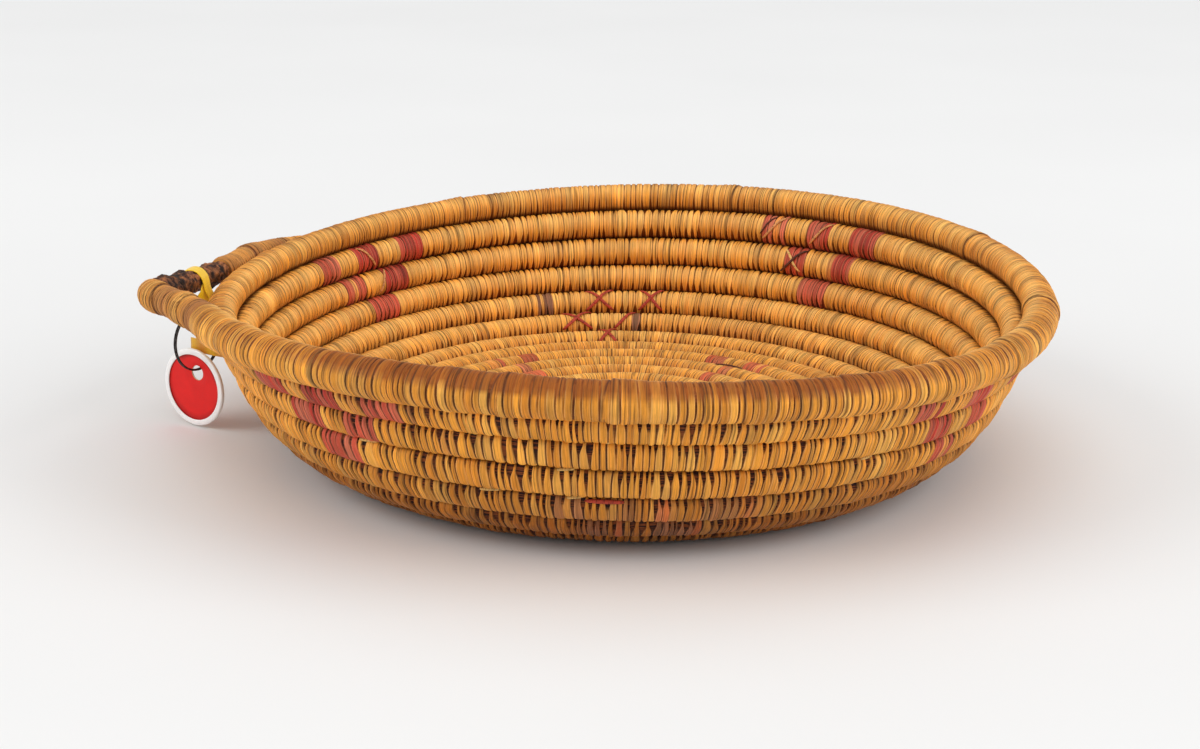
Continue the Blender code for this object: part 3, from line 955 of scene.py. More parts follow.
@dataclass
class Stitches:
    """Splints laid along one piece of coil, as the columns of its grid.

    Each splint has ten columns: the middle and edge of the gap before it, its own edge and
    shoulder, the lips and bed of the fine line that splits it, and then its other shoulder and
    edge, and the edge of the gap after it.
    """

    length: float
    style: WrapStyle
    round_angle: Array
    edges: Array = field(init=False)
    number: Array = field(init=False)
    place: Array = field(init=False)
    rise: Array = field(init=False)
    opening: Array = field(init=False)
    groove: Array = field(init=False)
    edge_line: Array = field(init=False)

    def __post_init__(self) -> None:
        """Lay the splints.

        The widths are drawn from the seed and scaled to fill the length. The place of a column
        is its share of its splint's width, and the share depends on the angle round the coil,
        because a splint is narrower where its notch opens. The gaps are finest on the crest
        that faces the middle of the basket.
        """
        style, draw, angle = self.style, np.random.default_rng(self.style.seed), self.round_angle
        count = max(int(round(self.length / style.pitch)), 3)
        widths = np.clip(draw.normal(1.0, 0.24, count), 0.5, 1.7)
        self.edges = np.concatenate([[0.0], np.cumsum(widths)]) / widths.sum() * self.length
        strength = np.where(draw.random(count + 1) < style.seams, draw.uniform(0.75, 1.25, count + 1),
                            draw.uniform(0.10, 0.45, count + 1))[:, None]
        late = draw.normal(0.0, 12.0, count + 1)[:, None]
        notched = smooth(-24.0, 6.0, angle) * (1.0 - smooth(40.0 + late, 98.0 + late, angle))
        ticked = smooth(100.0, 150.0, -angle) + 0.8 * smooth(-62.0, -20.0, angle) * (angle < 1.0)
        notch = np.clip(draw.gamma(2.4, 0.40, count + 1), 0.1, 2.0) * style.notch
        notch = notch[:, None] * notched
        tight = 1.0 - 0.40 * bump(CREST_ANGLE, CREST_WIDTH, angle)
        gap = style.line * (0.35 + 0.65 * strength) * tight + notch + style.tick * strength * ticked
        before, after = gap[:-1], gap[1:] * draw.uniform(0.6, 1.1, count)[:, None]
        facing_in = smooth(20.0, 70.0, -angle) * (1.0 - smooth(150.0, 172.0, -angle))
        split = draw.uniform(0.36, 0.64, count)
        split_depth = np.where(draw.random(count) < 0.78, draw.uniform(0.4, 1.0, count), 0.15)[:, None]
        low, high = before + 0.05, 0.95 - after
        lip = np.broadcast_to(0.06 + 0.06 * ticked, low.shape)
        split = np.broadcast_to(split[:, None], low.shape)
        nothing, full = np.zeros_like(low), np.ones_like(low)
        inner = [full * 0.17, split - lip, split, split + lip, full * 0.83]
        shares = [nothing, before, low, *[low + (high - low) * value for value in inner], high, 1.0 - after]
        tilt = slow_noise(self.edges, 0.02, style.seed + Draw.TILT) * 0.5
        tilt = tilt + draw.normal(0.0, 0.16, count + 1)
        curve = draw.normal(0.0, 0.12, count + 1)
        turn = np.radians(angle)
        bounds = self.edges[:, None] + tilt[:, None] * np.sin(turn) + curve[:, None] * np.cos(turn)
        bounds[0], bounds[-1] = self.edges[0], self.edges[-1]
        start, end = bounds[:-1, None, :], bounds[1:, None, :]
        self.place = (start + (end - start) * np.stack(shares, axis=1)).reshape(-1, len(angle))
        crown = draw.uniform(0.02, 0.14, count)[:, None] * facing_in
        crown = crown + draw.uniform(0.0, style.bulge * 1.4, count)[:, None] * (1.0 - facing_in)
        free = 1.0 - smooth(0.86, 0.97, np.abs(np.cos(turn)))
        bed = [-(0.24 + 0.85 * np.clip(part / 0.16 - 0.4, 0.0, 1.0)) * (0.15 + 0.85 * free)
               for part in (before, after)]
        slit = split_depth * np.maximum(0.5 * facing_in, 0.7 * ticked * (angle < 0.0))
        self.rise = self.columns([bed[0], bed[0], nothing - 0.03, crown * 0.8, crown, crown - 0.45 * slit,
                                  crown, crown * 0.8, nothing - 0.03, bed[1]])
        wide = [np.clip(part / 0.09 - 0.35, 0.0, 1.0) for part in (notch[:-1], notch[1:])]
        self.opening = self.columns([wide[0], wide[0], *[nothing] * 7, wide[1]])
        deep = [np.clip(strength[rows] + ticked, 0.0, 1.0) for rows in (slice(0, -1), slice(1, None))]
        self.groove = self.columns([deep[0], deep[0], *[nothing] * 3, np.clip(slit * 1.9, 0.0, 1.0),
                                    *[nothing] * 3, deep[1]])
        self.edge_line = self.columns([nothing, nothing, full, *[nothing] * 3, full * 0.4 * facing_in,
                                       nothing, full * 0.7, nothing])
        self.number = np.repeat(np.arange(count), len(shares))

    def columns(self, parts: list[Array]) -> Array:
        """Values of the ten columns of each splint, in the grid's order."""
        return np.stack(parts, axis=1).reshape(-1, len(self.round_angle))

    @cached_property
    def middles(self) -> Array:
        """Place of each splint's middle along the piece."""
        return (self.edges[1:] + self.edges[:-1]) / 2.0

    def grid(self, points: Array, colours: Array) -> Grid:
        """Grid of the splints' surface.

        The coordinate along the piece is the number of the splint plus the point's share of the
        splint's width.

        Args:
            points: Points of the surface.
            colours: Linear colours of the points.

        Returns:
            The grid.
        """
        start, width = (part[self.number][:, None] for part in (self.edges, np.diff(self.edges)))
        along = self.number[:, None] + (self.place - start) / width
        around = np.arange(len(self.round_angle)) / len(self.round_angle)
        return Grid(points, along, around, colours, self.opening)


def laps(place: Array, angle: Array, spots: tuple[float, ...]) -> tuple[Array, Array]:
    """Ends of splints that lie over the wrap before them.

    Just past each end the surface steps up by half a millimetre and falls back over 14 mm, and
    a thin line is in shade before the step. The line leans, by a sine of the angle round.

    Args:
        place: Place of each point along the piece.
        angle: Angle round the coil at each point.
        spots: Places of the ends.

    Returns:
        The lift of the surface and the shade of the lines.
    """
    lift, line = np.zeros_like(place), np.zeros_like(place)
    for spot in spots:
        past = place + 1.6 * np.sin(np.radians(angle + 40.0)) - spot
        lift = lift + 0.5 * smooth(-0.2, 0.4, past) * (1.0 - smooth(1.0, 14.0, past))
        line = line + smooth(-1.0, -0.1, past) * (1.0 - smooth(0.0, 0.5, past))
    return lift, line


def straw_colours(stitches: Stitches, angle: Array, outside: Array, style: WrapStyle) -> Array:
    """Colours of the splints, with painted shade and highlight.

    Each splint draws its own mix of four straw colours. Its edges are paler, a painted highlight lies on
    its crest inside the basket, painted shade browns its lower side and darkens the crevices between
    courses, and gaps and split lines are dark.

    Args:
        stitches: Splints of the piece.
        angle: Angle round the coil at each point, 0 towards the course above.
        outside: Share of each point that faces out of the basket.
        style: How the splints lie.

    Returns:
        Linear colours of the grid's points.
    """
    draw = np.random.default_rng(style.seed + Draw.STRAW)
    count = len(stitches.middles)
    pick = draw.random(count)
    base = toned(linear(Straw.GOLD.value), Straw.PALE, np.where(pick > 0.7, (pick - 0.7) * 1.8, 0.0))
    base = toned(base, Straw.AMBER, np.where(pick < 0.36, (0.36 - pick) * 1.6, 0.0))
    base = toned(base, Straw.OLIVE, np.where(draw.random(count) < 0.05, 0.45, 0.0))
    base = base * draw.normal(1.0, 0.10, count)[:, None]
    patch = slow_noise(stitches.middles, 0.008, style.seed + Draw.PATCH)
    base = toned(base, Straw.AMBER, np.clip(patch, 0.0, 1.0) * 0.35)
    colours = base[stitches.number][:, None, :] * np.ones((1, len(angle), 1))
    # Painted shade: the lower side of each coil, inside and outside the basket, is browned.
    down = smooth(95.0, 165.0, -angle) * (1.0 - smooth(172.0, 180.0, np.abs(angle)))
    colours = toned(colours, Straw.LOWER_SIDE_SHADE, down * 0.40 + smooth(110.0, 165.0, angle) * 0.30)
    # Painted highlight: the upper part of the crest inside the basket is paler.
    light = smooth(36.0, 66.0, -angle) * (1.0 - smooth(80.0, 112.0, -angle))
    colours = toned(colours, Straw.CREST_HIGHLIGHT, light * 0.36)
    colours = toned(colours, Straw.EDGE, 0.42 * stitches.edge_line)
    groove, crevice = (np.where(outside[:, None], linear(out.value), linear(within.value))
                       for out, within in ((Straw.GROOVE_OUTSIDE, Straw.GROOVE_INSIDE),
                                           (Straw.CREVICE_SHADE_OUTSIDE, Straw.CREVICE_SHADE_INSIDE)))
    shallow = 1.0 - 0.28 * bump(CREST_ANGLE, CREST_WIDTH, angle)
    colours = mixed(colours, groove, stitches.groove * 0.92 * shallow)
    # Painted shade: each coil darkens towards the crevices between courses.
    facing_course = np.cos(np.radians(angle))
    facing_course = -facing_course if style.exposed else np.abs(facing_course)
    return mixed(colours, crevice, smooth(0.84, 0.985, facing_course) * 0.80)


def squared_section(angle: Array, style: WrapStyle) -> tuple[Array, Array]:
    """Section of the coil, a circle squared by its sine and cosine raised to an exponent.

    Args:
        angle: Angles round the coil.
        style: How the splints lie, with the squareness outside and inside the basket.

    Returns:
        The section's reach along the wall and outwards at each angle, at most 1.
    """
    cosine, sine = np.cos(np.radians(angle)), np.sin(np.radians(angle))
    power = np.where(sine > 0.0, style.round_outer, style.round_inner)
    return squared(cosine, 2.0 / power), squared(sine, 2.0 / power)


def tag_room(path: CoilPath, turn: Array) -> Array:
    """Share of the hollow that the third course leaves for the tag's edge when it swings in."""
    return bump(path.at_angle(3, 183.5), TAG_ROOM_TURN, turn)


@dataclass
class WrappedPiece:
    """One piece of wrapped coil that stands for a wrap of the frame."""

    name: str
    first: float
    last: float
    style: WrapStyle
    path: CoilPath
    blocks: list[Block]
    room_depth: float = 2.3
    foot_shade: tuple[float, float, float] = (0.45, 0.35, 0.33)
    faded_dye: Colour = (236, 152, 112)

    def build(self, material: Material) -> bpy.types.Object:
        """Make the piece.

        The section is a squared circle, flatter outside the basket than inside. It is carried along the
        coil, and each splint's relief is added along the direction from the centre. Painted shade darkens
        the outside towards the foot of the wall.

        Args:
            material: Finish of the splints.

        Returns:
            The object.
        """
        style, path = self.style, self.path
        angle = corner_angles(style.corners)
        start = path.length(self.first)
        stitches = Stitches(float(path.length(self.last) - start), style, angle)
        turn = path.turn_at(stitches.place + start)
        side, front = squared_section(angle, style)
        half = path.wrap(turn) + path.seat / 2.0
        along, outward = path.frames(turn)
        fullness = 1.0 + 0.016 * slow_noise(stitches.place, 0.012, style.seed + Draw.LONG_SWELL)
        fullness = fullness + 0.014 * slow_noise(stitches.place, 0.045, style.seed + Draw.SHORT_SWELL)
        room = self.room_depth * tag_room(path, turn) * bump(105.0, 90.0, angle)
        wide, deep = side * (half + 0.05), front * ((half + 0.25) * fullness - room)
        reach = np.maximum(np.hypot(wide, deep), 1e-6)
        lap_spots = tuple(float(path.length(path.at_angle(1, spot)) - start) for spot in style.laps)
        lift, shade = laps(stitches.place, angle, lap_spots)
        stretch = 1.0 + (stitches.rise + lift) / reach
        points = path.centre(turn) + along * (wide * stretch)[..., None]
        points = points + outward * (deep * stretch)[..., None]
        points[..., 2] = np.maximum(points[..., 2], 0.02)
        colours = straw_colours(stitches, angle, front > 0.0, style)
        # Painted shade: the outside of the lower courses is darkened towards the foot of the wall.
        foot = smooth(3.7, 6.6, turn) * smooth(4.0, 46.0, angle)
        colours = mixed(colours, colours * np.array(self.foot_shade), foot)
        colours = self.dyed(colours, stitches)
        if style.wear:
            colours = self.worn(colours, turn, stitches, angle)
        colours = toned(colours, Straw.LAP, shade * 0.8)
        return mesh_from_grid(self.name, stitches.grid(points, colours), material)

    def dyed(self, colours: Array, stitches: Stitches) -> Array:
        """Colour the splints that lie in dyed blocks.

        A splint is dyed as a whole, by where its middle lies.

        Args:
            colours: Natural colours.
            stitches: Splints of the piece.

        Returns:
            The colours with the dyed splints.
        """
        draw = np.random.default_rng(self.style.seed + Draw.DYE)
        count = len(stitches.middles)
        middles = self.path.turn_at(stitches.middles + self.path.length(self.first))
        gloom = draw.uniform(0.72, 1.12, count)
        faded = np.clip(draw.uniform(-0.30, 0.38, count), 0.0, 1.0)
        paler = linear(self.faded_dye)
        for block in self.blocks:
            first = self.path.at_angle(block.course, block.start)
            last = first + (block.end - block.start) / 360.0
            share = np.where((middles >= first) & (middles < last), block.strength, 0.0)
            share = share * np.where(draw.random(count) < 0.4 + 0.55 * block.strength, 1.0, 0.35)
            if not share.any():
                continue
            dye = mixed(linear(block.dye.value) * gloom[:, None], paler, faded)
            dyed = dye[stitches.number][:, None, :] * (1.0 - 0.74 * stitches.groove)[..., None]
            dyed = mixed(dyed, paler, 0.52 * stitches.edge_line)
            colours = mixed(colours, dyed, share[stitches.number][:, None])
        return colours

    def worn(self, colours: Array, turn: Array, stitches: Stitches, angle: Array) -> Array:
        """Brown the rim's top, most of all at the front.

        Args:
            colours: Colours so far.
            turn: Turns of the grid's points.
            stitches: Splints of the piece.
            angle: Angle round the coil at each point.

        Returns:
            The colours with the handled band, which ends at a place of its own on each splint.
        """
        draw = np.random.default_rng(self.style.seed + Draw.WEAR)
        own = draw.normal(0.0, 1.0, (2, len(stitches.middles)))[:, stitches.number, None]
        round_basket = turned(self.path.angle(turn) - 268.0)
        lower = 3.0 * own[0]
        band = smooth(-78.0, -44.0, angle) * (1.0 - smooth(2.0 + lower, 34.0 + lower, angle))
        band = band * (1.0 + 0.08 * own[1])
        place = self.path.length(turn)
        uneven = 0.86 + 0.16 * slow_noise(place, 0.011, 3) + 0.20 * slow_noise(place, 0.10, 4)
        front = 0.34 + 0.66 * (1.0 - smooth(24.0, 52.0, np.abs(round_basket)))
        share = np.clip((band * uneven * front + 0.16 * front) * self.style.wear, 0.0, 0.92)
        return toned(colours, Straw.WORN, share)


@dataclass
class CrossStraw:
    """A single straw laid over the splints, from one place on the coil to another."""

    course: int
    start: tuple[float, float]
    end: tuple[float, float]
    colour: Colour
    width: float = 1.5
    lift: float = 0.55
    half_thick: float = 0.32

    def grid(self, path: CoilPath, style: WrapStyle) -> Array:
        """Surface of the straw.

        The straw's line runs evenly from its first angle round the basket and round the coil to
        its last, on the coil's section made larger by the lift, and sinks at both ends.

        Args:
            path: Path of the coil.
            style: How the splints of the coil lie.

        Returns:
            Points of the surface.
        """
        share = np.linspace(0.0, 1.0, 17)
        first, last = (path.at_angle(self.course, end[0]) for end in (self.start, self.end))
        turns = first + (last - first) * share
        angles = self.start[1] + (self.end[1] - self.start[1]) * share
        half = path.wrap(turns) + path.seat / 2.0
        lift = self.lift - 0.9 * (1.0 - np.sin(share * math.pi) ** 0.35)
        side, front = squared_section(angles, style)
        wide, deep = side * (half + lift), front * (half + lift + 0.2)
        along, outward = path.frames(turns)
        line = path.centre(turns) + along * wide[:, None] + outward * deep[:, None]
        facing = np.radians(angles)[:, None]
        normal = unit(along * np.cos(facing) + outward * np.sin(facing))
        tangent = unit(np.gradient(line, axis=0))
        across = unit(np.cross(normal, tangent))
        outline = round_outline(8) * np.array([self.width / 2.0, self.half_thick])
        taper = 0.55 + 0.45 * np.sin(share * math.pi) ** 0.5
        shapes = outline[None] * np.stack([taper, np.ones_like(taper)], axis=-1)[:, None]
        return sweep(line, across, unit(np.cross(tangent, across)), shapes)


def joined(objects: list[bpy.types.Object], name: str) -> bpy.types.Object:
    """Join objects into one.

    Args:
        objects: Objects to join.
        name: Name of the joined object.

    Returns:
        The joined object.
    """
    for item in bpy.context.selected_objects:
        item.select_set(False)
    for item in objects:
        item.select_set(True)
    bpy.context.view_layer.objects.active = objects[0]
    bpy.ops.object.join()
    objects[0].name = name
    objects[0].data.name = name
    return objects[0]


# The basket


@dataclass
class Basket:
    """Coil, splints, marks and start knot, which ride on the basket's body."""

    path: CoilPath
    body: str = "basket"
    rim_laps: tuple[float, ...] = (207.0, 214.5, 249.0, 256.4, 268.6, 284.0, 296.2, 311.0, 326.0, 349.0,
                                   22.0, 71.0, 118.0, 160.0)

    def names(self) -> list[str]:
        """Names of the courses.

        Returns:
            The names from the rim inwards, as the frame has them.
        """
        count = int(math.ceil(self.path.last_turn)) - 1
        walls = [f"wall_wrap_{number}" for number in range(1, self.path.wall_turns)]
        bases = [f"base_wrap_{number}" for number in range(1, count - self.path.wall_turns + 1)]
        return ["rim_wrap", *walls, *bases]

    def style(self, number: int) -> WrapStyle:
        """How the splints of a course lie.

        Args:
            number: The course, counted from 0 at the rim.

        Returns:
            Smooth splints with wear on the rim, notched ones on the wall, and narrower ones with
            fewer corners on the base.
        """
        if number == 0:
            return WrapStyle(pitch=2.7, line=0.078, notch=0.03, tick=0.06, seams=0.62, bulge=0.18,
                             round_inner=2.1, round_outer=2.25, corners=24, wear=1.0, exposed=True,
                             laps=self.rim_laps, seed=11)
        if number < self.path.wall_turns:
            return WrapStyle(seed=11 + number * 7)
        return WrapStyle(pitch=2.5, line=0.05, notch=0.10, tick=0.06, round_inner=2.5, round_outer=2.6,
                         corners=18, seed=11 + number * 7)

    def build(self, grass: Material) -> None:
        """Make every course and what lies on it.

        Args:
            grass: Finish of the splints and the single straws.
        """
        blocks = dyed_blocks()
        for number, name in enumerate(self.names()):
            last = min(2.0 + number, self.path.last_turn)
            piece = WrappedPiece(f"{name}_splints", 1.0 + number, last, self.style(number), self.path,
                                 blocks)
            item = piece.build(grass)
            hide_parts(name)
            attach(item, self.body)
            log.info("%s: %d faces", item.name, len(item.data.polygons))
        self.build_marks(grass)
        self.build_knot(grass)

    def marks(self) -> list[CrossStraw]:
        """Single straws that lie over the courses.

        Returns:
            Red crosses on the lower courses at the back, pale and dark straws at the stepped blocks
            there, a dark one on the base, and a red one and short pale ends outside at the front.
        """
        red, tan, umber, cream = (178, 66, 46), (214, 150, 92), (92, 50, 34), (232, 184, 110)
        marks = []
        for course, start, end in ((5, 97.6, 92.0), (5, 86.8, 82.0), (6, 103.2, 96.6), (7, 95.6, 91.2)):
            marks.append(CrossStraw(course, (start, -38.0), (end, -140.0), red))
            marks.append(CrossStraw(course, (start, -138.0), (end, -40.0), red, lift=0.95))
        marks += [
            CrossStraw(6, (91.8, -138.0), (87.2, -42.0), red),
            CrossStraw(2, (141.8, -36.0), (138.6, -140.0), tan, 1.1),
            CrossStraw(3, (137.0, -34.0), (139.6, -138.0), tan, 1.1),
            CrossStraw(2, (64.6, -142.0), (60.4, -38.0), tan, 1.2),
            CrossStraw(2, (65.0, -120.0), (62.4, -40.0), umber, 0.8),
            CrossStraw(2, (55.4, -142.0), (51.4, -38.0), tan, 1.2),
            CrossStraw(3, (59.6, -46.0), (55.8, -136.0), cream, 1.2),
            CrossStraw(3, (60.0, -142.0), (55.2, -44.0), umber, 1.2, 0.9),
            CrossStraw(5, (265.4, 36.0), (270.6, 36.0), red),
            CrossStraw(10, (60.0, -84.0), (50.4, -66.0), umber, 1.1)]
        for course, angle, reach in ((2, 243.2, 4.2), (2, 233.4, 1.9), (3, 238.2, 4.6), (4, 233.6, 3.4),
                                     (2, 256.0, 1.6), (4, 262.0, 2.4), (5, 251.0, 3.0), (2, 274.5, 1.8),
                                     (3, 268.0, 2.0), (5, 263.0, 2.0), (3, 296.0, 2.2), (4, 303.0, 2.0)):
            marks.append(CrossStraw(course, (angle, 28.0), (angle + reach, 20.0), (224, 178, 104), 1.3))
        return marks

    def build_marks(self, grass: Material) -> None:
        """Lay the single straws over the courses.

        Args:
            grass: Finish of the straws.
        """
        items = []
        for number, mark in enumerate(self.marks()):
            points = mark.grid(self.path, self.style(mark.course - 1))
            grid = Grid.plain(points, 6.0, linear(mark.colour))
            items.append(mesh_from_grid(f"straw_{number}", grid, grass))
        item = joined(items, "laid_straws")
        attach(item, self.body)
        log.info("%s: %d straws", item.name, len(items))

    def build_knot(self, grass: Material) -> None:
        """Fill the middle of the base with the wound start of the coil.

        Its top is a low dome with a spiral furrow, and radial splints cross it. The height at a
        radius and angle is the dome plus a cosine of the spiral's phase plus the splints' ribs.

        Args:
            grass: Finish of the splints.
        """
        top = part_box("start_knot")[1].z / MM
        rows, columns = 40, 120
        wind, rib_count = 6.6, 26.0
        cosine, sine = round_outline(columns).T
        degrees = np.arange(columns)[None, :] / columns * 360.0
        last = self.path.last_turn
        behind = (self.path.angle(last) - degrees) % 360.0 / 360.0
        edge = self.path.radius(last - behind) - self.path.wrap(np.full_like(behind, last)) - 0.1
        share = np.linspace(0.0, 1.0, rows)[:, None]
        radius = share * edge
        phase = radius / wind + degrees / 360.0
        furrow = (0.5 - 0.5 * np.cos(phase * math.tau)) ** 0.6
        ribs = np.abs(np.sin(degrees / 360.0 * rib_count * math.pi + radius * 0.12)) ** 0.5
        height = top - 2.6 + 2.2 * furrow + 0.25 * ribs * smooth(2.0, 5.0, radius)
        height = height - 1.6 * smooth(0.86, 1.0, share)
        face = np.stack([radius * cosine, radius * sine, height], axis=-1)
        foot = np.stack([edge * cosine, edge * sine, np.full_like(edge, 0.05)], axis=-1)
        points = np.concatenate([face[1:], foot])
        # Painted shade: the wound start is darker down in its spiral furrow; it is also darker between the
        # splints' ribs.
        furrows = ((1.0 - furrow) ** 2 * 0.6 + (1.0 - ribs) * 0.5)[1:]
        tone = np.concatenate([furrows, np.ones_like(edge) * 0.5])
        colours = mixed(linear((206, 146, 64)), linear((84, 40, 20)), tone)
        grid = Grid.plain(points, 6.0, colours)
        item = mesh_from_grid("start_knot_wound", grid, grass)
        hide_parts("start_knot")
        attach(item, self.body)
        log.info("%s: %d faces", item.name, len(item.data.polygons))


# The handle


@dataclass
class Handle:
    """Loop that the coil makes outside the rim: wrapped, bare at the back and laid on the rim."""

    path: CoilPath
    route: tuple[tuple[float, float, float], ...] = (
        (200.6, 1.4, 0.1), (197.4, 4.0, 0.1), (194.4, 7.6, 0.1), (191.9, 11.3, 0.1), (190.0, 15.2, 0.2),
        (188.2, 17.1, 0.1), (186.0, 14.7, -0.4), (183.0, 10.6, -1.5), (178.0, 7.6, -3.3),
        (172.0, 5.9, -5.5))
    landing: tuple[tuple[float, float], ...] = ((165.0, 1.7), (160.0, 1.9), (155.0, 1.2), (150.5, -0.4),
                                                (146.5, -1.6))
    wrap_radius: float = 5.5
    bare_radius: float = 4.5
    end_radius: float = 3.95
    bare_from: float = 187.5
    bare_to: float = 168.0
    seams: tuple[float, ...] = (0.32, 0.74)
    core_room: float = 1.8
    steps: float = 39.0
    rooted_steps: float = 12.0
    body: str = "basket"

    def radius(self, angle: Array) -> Array:
        """Radius of the wrapped handle, which thickens to the rim's coil and thins to its end.

        Args:
            angle: Angles round the basket.

        Returns:
            The radius at each angle.
        """
        root = float(self.path.wrap(np.array(1.0)))
        rooted = smooth(0.0, 1.0, (angle - self.bare_from - 4.0) / 12.0)
        front = self.wrap_radius + (root - self.wrap_radius) * rooted
        landing, end = self.landing[0][0], self.landing[-1][0]
        back = self.end_radius + (self.wrap_radius - self.end_radius) * smooth(end, landing, angle)
        return np.where(angle > landing, front, back)

    @cached_property
    def knots(self) -> Array:
        """Points that the handle passes through.

        The landing's points lie beside the rim, at the distance of both radii and a seat.

        Returns:
            The points, from the rim's root to the handle's end.
        """
        root = self.path.centre(np.array(1.0))
        knots = [root]
        for angle, reach, rise in self.route:
            radius = self.path.rim_radius + reach
            knots.append(level_direction(angle) * radius + UP * (root[2] + rise))
        for angle, rise in self.landing:
            turn = 2.0 - (self.path.root_angle - angle) / 360.0
            beside = self.path.centre(np.array(turn))
            reach = float(self.path.wrap(np.array(turn)) + self.radius(np.array(angle))) + self.path.seat
            radius = math.hypot(beside[0], beside[1]) + math.sqrt(reach ** 2 - rise ** 2)
            knots.append(level_direction(angle) * radius + UP * (beside[2] + rise))
        return np.array(knots)

    def stations(self, share: Array) -> tuple[Array, Array, Array, Array]:
        """Places along the handle.

        Args:
            share: Places along the handle, from 0 at the rim's root to 1 at its end.

        Returns:
            Centres, angles round the basket and the two directions across the handle.
        """
        centre = smooth_route(self.knots, share)
        nudge = 0.5 / self.steps
        ahead = smooth_route(self.knots, np.clip(share + nudge, 0.0, 1.0))
        behind = smooth_route(self.knots, np.clip(share - nudge, 0.0, 1.0))
        level = -unit(np.cross(unit(ahead - behind), UP))
        root_slope = float(self.path.slope(np.array(1.0)))
        slope = root_slope * (1.0 - smooth(0.0, self.rooted_steps / self.steps, share))[:, None]
        angle = np.degrees(np.arctan2(centre[:, 1], centre[:, 0])) % 360.0
        return (centre, angle, level * np.cos(slope) + UP * np.sin(slope),
                level * np.sin(slope) - UP * np.cos(slope))

    @cached_property
    def walk(self) -> tuple[Array, Array, Array]:
        """Lengths and angles along the handle, in small steps.

        Returns:
            Shares along the handle, and the length walked and angle round the basket there.
        """
        share = np.linspace(0.0, 1.0, 1600)
        centre, angle, _, _ = self.stations(share)
        steps = np.linalg.norm(np.diff(centre, axis=0), axis=-1)
        return share, np.concatenate([[0.0], np.cumsum(steps)]), angle

    def share_at_angle(self, angle: float) -> float:
        """Share at which the handle passes an angle round the basket."""
        share, _, angles = self.walk
        return float(np.interp(-angle, -angles, share))

    def build_wrap(self, name: str, node: str, first: float, last: float, style: WrapStyle,
                   grass: Material) -> None:
        """Make one wrapped stretch of the handle.

        The section is round and follows the handle's radius, with each splint's relief added.

        Args:
            name: Name of the piece.
            node: Node of the frame that it stands for.
            first: Share at which it starts.
            last: Share at which it ends.
            style: How the splints lie.
            grass: Finish of the splints.
        """
        shares, walked, _ = self.walk
        angle = corner_angles(style.corners)
        start, end = np.interp([first, last], shares, walked)
        stitches = Stitches(float(end - start), style, angle)
        share = np.interp(stitches.place + start, walked, shares)
        centre, bearing, along, outward = (part.reshape(*share.shape, -1)
                                           for part in self.stations(share.ravel()))
        thick = self.radius(bearing[..., 0]) + 0.15
        if node == "handle_wrap_back":
            ends = np.minimum(stitches.place, stitches.length - stitches.place)
            thick = thick * (0.90 + 0.10 * smooth(0.0, 2.4, ends))
        uneven = 1.0 + 0.03 * slow_noise(stitches.place, 0.06, style.seed + Draw.HANDLE_RADIUS)
        lift, shade = laps(stitches.place, angle, tuple(spot * stitches.length for spot in self.seams))
        reach = thick * uneven + stitches.rise + lift
        turn = np.radians(angle)
        points = centre + along * (reach * np.cos(turn))[..., None]
        points = points + outward * (reach * np.sin(turn))[..., None]
        colours = straw_colours(stitches, np.full_like(angle, -130.0), np.full(len(angle), True), style)
        browned = 0.46 + 0.22 * slow_noise(stitches.place, 0.03, style.seed + Draw.HANDLE_BROWN)
        browned = browned - 0.34 * smooth(0.6, 1.0, stitches.place / stitches.length)
        colours = toned(colours, Straw.HANDLE, browned * (1.0 - stitches.groove))
        colours = toned(colours, Straw.LAP, shade * 0.85)
        item = mesh_from_grid(name, stitches.grid(points, colours), grass)
        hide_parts(node)
        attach(item, self.body)
        log.info("%s: %d faces", item.name, len(item.data.polygons))

    def build_bundle(self, bare: Material) -> None:
        """Make the coil's core from the start knot to the handle's end, with its bare stretch.

        Hidden parts are a plain tube, thinner than the wraps by a splint's depth. In the bare
        stretch the radius gets the ridges of twisted stems and three low knots.

        Args:
            bare: Finish of the bare stems.
        """
        path, corners, coil_rows, loop_rows = self.path, 24, 700, 420
        strands, twist = 4.0, 0.22
        turns = np.linspace(path.last_turn, 1.0, coil_rows)[:-1]
        along, outward = path.frames(turns)
        outline = round_outline(corners)
        inner = (path.wrap(turns) - SPLINT_DEPTH - self.core_room * tag_room(path, turns))[:, None, None]
        coil = sweep(path.centre(turns), along, outward, outline[None] * inner)
        share = np.linspace(0.0, 1.0, loop_rows)
        centre, bearing, along, outward = self.stations(share)
        naked = smooth(self.bare_to - 1.0, self.bare_to + 1.5, bearing) * (
            1.0 - smooth(self.bare_from - 1.5, self.bare_from + 1.0, bearing))
        reach = self.radius(bearing) - SPLINT_DEPTH
        reach = reach + (self.bare_radius - reach) * naked
        turn = np.arange(corners) / corners * math.tau
        walked = np.interp(share, self.walk[0], self.walk[1])
        ridges = np.abs(np.sin(turn[None, :] * strands + walked[:, None] * twist))
        lumps = slow_noise(walked[:, None] + turn[None, :] * 2.0, 0.16, 7)
        knobs = bump(185.0, 2.2, bearing) * 0.7 + bump(180.4, 1.6, bearing) * 0.9
        knobs = knobs + bump(171.5, 1.8, bearing) * 0.6
        reach = reach[:, None] + naked[:, None] * (0.8 * ridges - 0.6 + 0.4 * lumps + knobs[:, None])
        loop = sweep(centre, along, outward, outline[None] * reach[..., None])
        grid = Grid.plain(np.concatenate([coil, loop]), 400.0)
        item = mesh_from_grid("grass_bundle", grid, bare)
        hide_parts("foundation_coil")
        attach(item, self.body)
        log.info("%s: %d faces", item.name, len(item.data.polygons))

